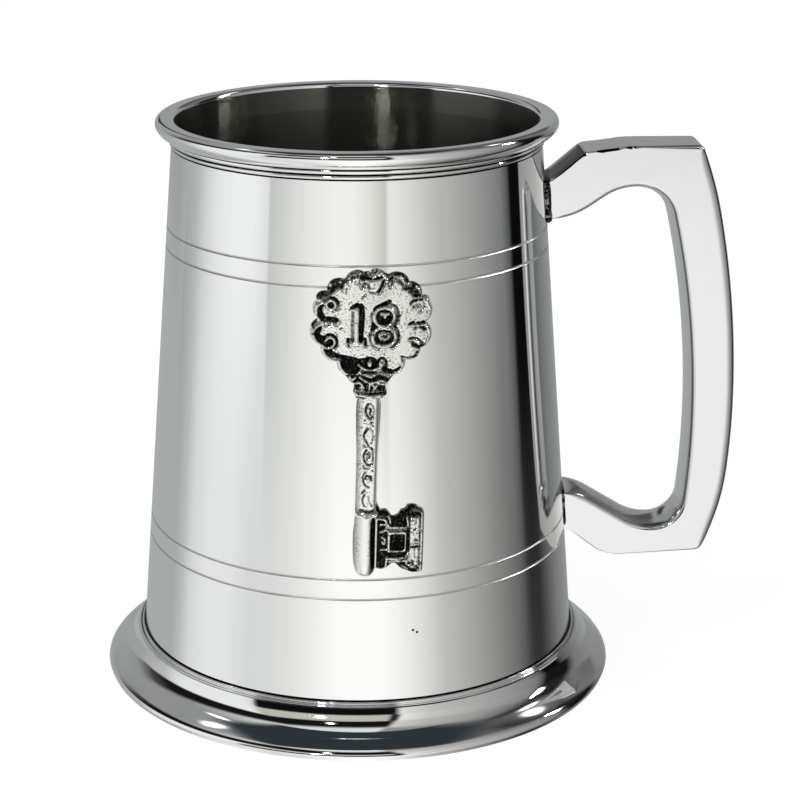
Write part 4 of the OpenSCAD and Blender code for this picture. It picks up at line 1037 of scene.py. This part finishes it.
# What the metal mirrors: the panels and gaps of a light tent. Each row of panels but the lowest takes over
# from the one below it between two heights in degrees. Shades are by bearing in degrees right of the front
TENT = (
    # White paper and the low panels
    (
        None,
        (
            (-180, "#A2A6A6"), (-120, "#A2A6A6"), (-112, "#B4B7B7"), (-104, "#CFD2D2"), (-90, "#DFE1E1"),
            (-75, "#DFE1E2"), (-62, "#D2D4D4"), (-48, "#D4D6D5"), (-36, "#DEDFDE"), (-22, "#EEEEED"),
            (-12, "#F8F8F7"), (10, "#F8F8F7"), (20, "#EDEDEC"), (30, "#DDDDDB"), (44, "#BABAB6"),
            (60, "#A3A39F"), (78, "#848482"), (92, "#6A6A6A"), (100.5, "#4A4A4A"), (106, "#343434"),
            (113, "#343434"), (120, "#4A4A4A"), (135, "#747676"), (155, "#888C8C"), (180, "#A2A6A6"),
        ),
    ),
    # The panels with their upright edges left and right of the front
    (
        (-15, -5),
        (
            (-180, "#AAAEAE"), (-150, "#AAAFAF"), (-126.6, "#A8ADAD"), (-125, "#7E8080"),
            (-123.6, "#A0A4A4"), (-113, "#B0B4B4"), (-105, "#C8CBCB"), (-95, "#DEE0E1"), (-80, "#EAECED"),
            (-66, "#EAECEC"), (-56, "#DADCDB"), (-54.8, "#BEC0BE"), (-45, "#CDCFCD"), (-30, "#E2E3E1"),
            (-15, "#ECECEA"), (-4, "#EBEBE8"), (6, "#DADAD6"), (15, "#BEBEB8"), (15.8, "#E2E2DF"),
            (28, "#D4D4D2"), (44, "#B7B7B4"), (62, "#A2A2A0"), (80, "#8B8B8C"), (93, "#757777"),
            (100, "#4C4E4E"), (102, "#0A0A0A"), (115, "#0A0A0A"), (121, "#565656"), (150, "#8E9292"),
            (180, "#AAAEAE"),
        ),
    ),
    # Lower black bar of the front window
    (
        (-2.5, -1),
        (
            (-180, "#A0A4A4"), (-142, "#A6A8A8"), (-112, "#B0B2B2"), (-100, "#DADCDC"), (-60, "#E4E6E6"),
            (-55, "#D0D0D0"), (-53, "#0C0C0C"), (16, "#0C0C0C"), (19, "#DADAD8"), (34, "#B8B8B6"),
            (66, "#9C9C9C"), (96, "#787878"), (104, "#141414"), (122, "#141414"), (130, "#747474"),
            (165, "#909292"), (180, "#949898"),
        ),
    ),
    # The front window, with its black right post
    (
        (16, 21),
        (
            (-180, "#949898"), (-138, "#9A9C9C"), (-112, "#B4B6B6"), (-98, "#E0E2E2"), (-58, "#E4E6E6"),
            (-52, "#B4B2AA"), (-20, "#BAB8B0"), (13, "#B4B2AA"), (15, "#1A1A1A"), (18, "#1A1A1A"),
            (20, "#E0E0DE"), (36, "#BEBEBC"), (66, "#A0A09E"), (95, "#808080"), (104, "#202020"),
            (120, "#202020"), (130, "#707070"), (160, "#505050"), (173, "#505050"), (180, "#929494"),
        ),
    ),
    # Upper black bar, which runs on to the left, and a dark gap behind
    (
        (36, 40),
        (
            (-180, "#929494"), (-175, "#8E9090"), (-173.5, "#3C3C3C"), (-165.5, "#3C3C3C"),
            (-163, "#9A9C9C"), (-138, "#8A8C8C"), (-124, "#404040"), (-112, "#141414"), (16, "#101010"),
            (20, "#C8C8C6"), (40, "#AEAEAC"), (70, "#969694"), (95, "#707070"), (108, "#303030"),
            (125, "#606060"), (165, "#606060"), (180, "#919393"),
        ),
    ),
    # Roof panel
    (
        (54, 64),
        (
            (-180, "#909292"), (-110, "#8A8C8C"), (-90, "#A8ACAC"), (-60, "#D4D8D8"), (14, "#D8DCDC"),
            (20, "#8C8C8C"), (60, "#868686"), (95, "#5C5C5C"), (140, "#606060"), (180, "#909292"),
        ),
    ),
)
# The rows from the front window up sink to the left, between two bearings in degrees and by so many degrees
SINK_FROM, SINK_TO, SINK_BY = -50, -130, 30
# The second row reaches lower at the dark gap on the right: its bearing, half width and reach in degrees
GAP_ROW, GAP_BEARING, GAP_HALF, GAP_REACH = 1, 108, 20, 6
# Dark opening in the roof: heights in degrees where it starts and is full, then slopes ahead and aside
ROOF_HEIGHTS = (50, 62)
ROOF_AHEAD = ((0.33, 0.26), (-0.8, -0.5))
ROOF_ASIDE = ((-0.64, -0.42), (0.66, 0.36))
ROOF_SHADE = "#2A3238"
# Bare lamps in the tent: bearing, height, half width and half height in degrees, and strength
LAMPS = (
    (-115, 56, 9, 7, 5),
    (-21, 27, 3.6, 5, 220),
    (-18, 46, 4, 4, 20),
    (105, 30, 5.0, 7.5, 14),
    (103, 31, 2.4, 8, 420),
    (121, 47, 9, 7, 5),
)
LAMP_FALL_OFF = 3.0
TENT_STRENGTH = 1.1
PLAIN_LIGHT = 0.65


def light_tent():
    """World: plain even light, but the metal mirrors the panels, gaps and lamps of a light tent."""
    world = bpy.data.worlds.new("light_tent")
    bpy.context.scene.world = world
    world.use_nodes = True
    tree = world.node_tree
    tree.nodes.clear()
    axes = add(tree, "SeparateXYZ", {"Vector": add(tree, "TexCoord").outputs["Generated"]})
    aside, up = axes.outputs["X"], axes.outputs["Z"]
    ahead = add(tree, "Math", {0: axes.outputs["Y"], 1: -1.0}, operation="MULTIPLY")
    bearing = add(tree, "Math", {0: aside, 1: ahead}, operation="ARCTAN2")
    around = add(tree, "MapRange", {"Value": bearing, "From Min": -math.pi, "From Max": math.pi})
    height = add(tree, "Math", {0: up}, operation="ARCSINE")
    sink = {
        "Value": bearing,
        "From Min": math.radians(SINK_FROM),
        "From Max": math.radians(SINK_TO),
        "To Max": math.radians(SINK_BY),
    }
    sunk = add(tree, "Math", {0: height, 1: add(tree, "MapRange", sink)}, operation="ADD")
    off_gap = add(tree, "Math", {0: bearing, 1: math.radians(GAP_BEARING)}, operation="SUBTRACT")
    reach = {
        "Value": add(tree, "Math", {0: off_gap}, operation="ABSOLUTE"),
        "From Min": math.radians(GAP_HALF),
        "From Max": math.radians(GAP_HALF / 2),
        "To Max": math.radians(GAP_REACH),
    }
    lowered = add(tree, "Math", {0: height, 1: add(tree, "MapRange", reach)}, operation="ADD")
    colour = None
    for row, (heights, shades) in enumerate(TENT):
        stops = [((degrees + 180) / 360, shade) for degrees, shade in shades]
        band = add(tree, "ValToRGB", {"Fac": around}, stops)
        if heights is None:
            colour = band
            continue
        low, high = heights
        level = sunk if low > 0 else lowered if row == GAP_ROW else height
        rise = {"Value": level, "From Min": math.radians(low), "From Max": math.radians(high)}
        above = add(tree, "MapRange", rise, interpolation_type="SMOOTHSTEP")
        colour = add(tree, "MixRGB", {"Fac": above, "Color1": colour, "Color2": band})
    edges = [(height, [math.radians(degrees) for degrees in ROOF_HEIGHTS])]
    for way, slopes in ((ahead, ROOF_AHEAD), (aside, ROOF_ASIDE)):
        slope = add(tree, "Math", {0: way, 1: up}, operation="DIVIDE")
        edges += [(slope, limits) for limits in slopes]
    opening = 1.0
    for value, (low, high) in edges:
        rise = {"Value": value, "From Min": low, "From Max": high}
        within = add(tree, "MapRange", rise, interpolation_type="SMOOTHSTEP")
        opening = add(tree, "Math", {0: opening, 1: within}, operation="MULTIPLY")
    colour = add(tree, "MixRGB", {"Fac": opening, "Color1": colour, "Color2": srgb(ROOF_SHADE)})
    for lamp_bearing, lamp_height, half_w, half_h, strength in LAMPS:
        share = 1.0
        for angle, middle, half in ((bearing, lamp_bearing, half_w), (height, lamp_height, half_h)):
            off = add(tree, "Math", {0: angle, 1: math.radians(middle)}, operation="SUBTRACT")
            away = add(tree, "Math", {0: off}, operation="ABSOLUTE")
            fall = {"Value": away, "From Min": math.radians(half), "From Max": 0.0}
            within = add(tree, "MapRange", fall, interpolation_type="SMOOTHSTEP")
            share = add(tree, "Math", {0: share, 1: within}, operation="MULTIPLY")
        share = add(tree, "Math", {0: share, 1: LAMP_FALL_OFF}, operation="POWER")
        colour = add(tree, "MixRGB", {"Fac": share, "Color1": colour, "Color2": [strength] * 3 + [1]})
    path = add(tree, "LightPath")
    in_metal = {0: path.outputs["Is Glossy Ray"], 1: path.outputs["Is Transmission Ray"]}
    mirrored = add(tree, "Math", in_metal, operation="MAXIMUM")
    backdrop = {"Fac": path.outputs["Is Camera Ray"], "Color1": [PLAIN_LIGHT] * 3 + [1], "Color2": [1] * 4}
    plain = add(tree, "MixRGB", backdrop)
    seen = add(tree, "MixRGB", {"Fac": mirrored, "Color1": plain, "Color2": colour})
    shine = add(tree, "Background", {"Color": seen, "Strength": TENT_STRENGTH})
    add(tree, "OutputWorld", {"Surface": shine})


def studio_floor():
    """White paper that keeps a soft shadow, and that the metal looks past."""
    material, tree = new_material("white_paper")
    path = add(tree, "LightPath")
    share = add(tree, "Math", {0: path.outputs["Is Camera Ray"], 1: 0.8}, operation="MULTIPLY")
    paper = add(tree, "BsdfDiffuse", {"Color": srgb("#F6F6F6")})
    white = add(tree, "Emission", {"Color": [1] * 4, "Strength": 1.08})
    mixed = add(tree, "MixShader", {0: share, 1: paper, 2: white})
    add(tree, "OutputMaterial", {"Surface": mixed})
    bm = bmesh.new()
    bmesh.ops.create_circle(bm, cap_ends=True, segments=96, radius=6)
    mesh = bpy.data.meshes.new("floor")
    bm.to_mesh(mesh)
    bm.free()
    mesh.materials.append(material)
    floor = bpy.data.objects.new("floor", mesh)
    bpy.context.scene.collection.objects.link(floor)
    floor.visible_glossy = False


def soft_lamp(name, place, power, side):
    """Square soft box that shines at the middle of the tankard and that the metal doesn't mirror."""
    data = bpy.data.lights.new(name, "AREA")
    data.energy = power
    data.size = side
    lamp = bpy.data.objects.new(name, data)
    lamp.location = place
    lamp.rotation_euler = (Vector((0, 0, 0.06)) - Vector(place)).to_track_quat("-Z", "Y").to_euler()
    lamp.visible_glossy = False
    bpy.context.scene.collection.objects.link(lamp)


def photo_camera():
    """Camera at the photograph's place: a long lens a little above the rim, cut from a wider view."""
    data = bpy.data.cameras.new("camera")
    data.sensor_width = 36
    data.lens = 101.27
    data.shift_x, data.shift_y = 0.1056, -0.0605
    data.clip_start = 0.01
    camera = bpy.data.objects.new("camera", data)
    place = (-0.019109, -0.455009, 0.204106)
    pan, tilt, roll = math.radians(-1.3053), math.radians(90 - 16.6319), -0.0068
    aim = Matrix.Rotation(pan, 4, "Z") @ Matrix.Rotation(tilt, 4, "X") @ Matrix.Rotation(roll, 4, "Z")
    camera.matrix_world = Matrix.Translation(place) @ aim
    bpy.context.scene.collection.objects.link(camera)
    bpy.context.scene.camera = camera


photo_camera()
light_tent()
studio_floor()
soft_lamp("key_lamp", (-0.7, -0.6, 1.0), 4.0, 0.8)
soft_lamp("fill_lamp", (0.8, -0.5, 0.9), 1.5, 0.8)

turned = turned_pewter("turned_pewter", "#F8F8F7", 0.03, 0.06)
unbuffed = turned_pewter("unbuffed_groove_pewter", "#DEDEDC", 0.36, 0.44)
# Its dark grey stands as painted shade inside the cup, on the bore and on the cup's floor
satin_painted_shade = spun_satin_pewter_painted_shade()
cast = buffed_cast_pewter()
run_solder = soft_solder("run_solder", 0.7, "#161615", "#B4B4B0", 0.62)
# Dark solder for the joints, also laid into the rim's hollows as painted shade and onto the handle's top
# edges
joint_solder_and_painted_shade = soft_solder("joint_solder_and_painted_shade", 1.6, "#0C0C0C", "#3A3A38", 0.68)
antiqued = antiqued_cast_pewter()

barrel_coats, rim_coats = [turned, satin_painted_shade, unbuffed], [turned, satin_painted_shade, joint_solder_and_painted_shade]
turn("turned_barrel", "barrel", barrel_outline(), barrel_coats, barrel_finish)
turn("turned_rim", "rim_moulding", rim_outline(), rim_coats, rim_finish)
turn("rim_joint", "rim_solder", rim_joint_outline(), [joint_solder_and_painted_shade])
turn("foot_joint", "foot_solder", foot_joint_outline(), [joint_solder_and_painted_shade])
turn("turned_foot", "foot_ring", foot_outline(), [turned])
cast_handle(cast, joint_solder_and_painted_shade)
root_solder("upper_root_solder", "handle_upper_solder", 0.92, 0.2, run_solder)
root_solder("lower_root_solder", "handle_lower_solder", 0.34, 0.4, run_solder)
cast_key_badge(antiqued)

CAD_FINISHES = {
    "floor_disc": satin_painted_shade,
    "floor_solder": run_solder,
}
for node_name, finish in CAD_FINISHES.items():
    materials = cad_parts[node_name].data.materials
    materials.clear()
    materials.append(finish)

bpy.context.scene.view_settings.view_transform = "Standard"
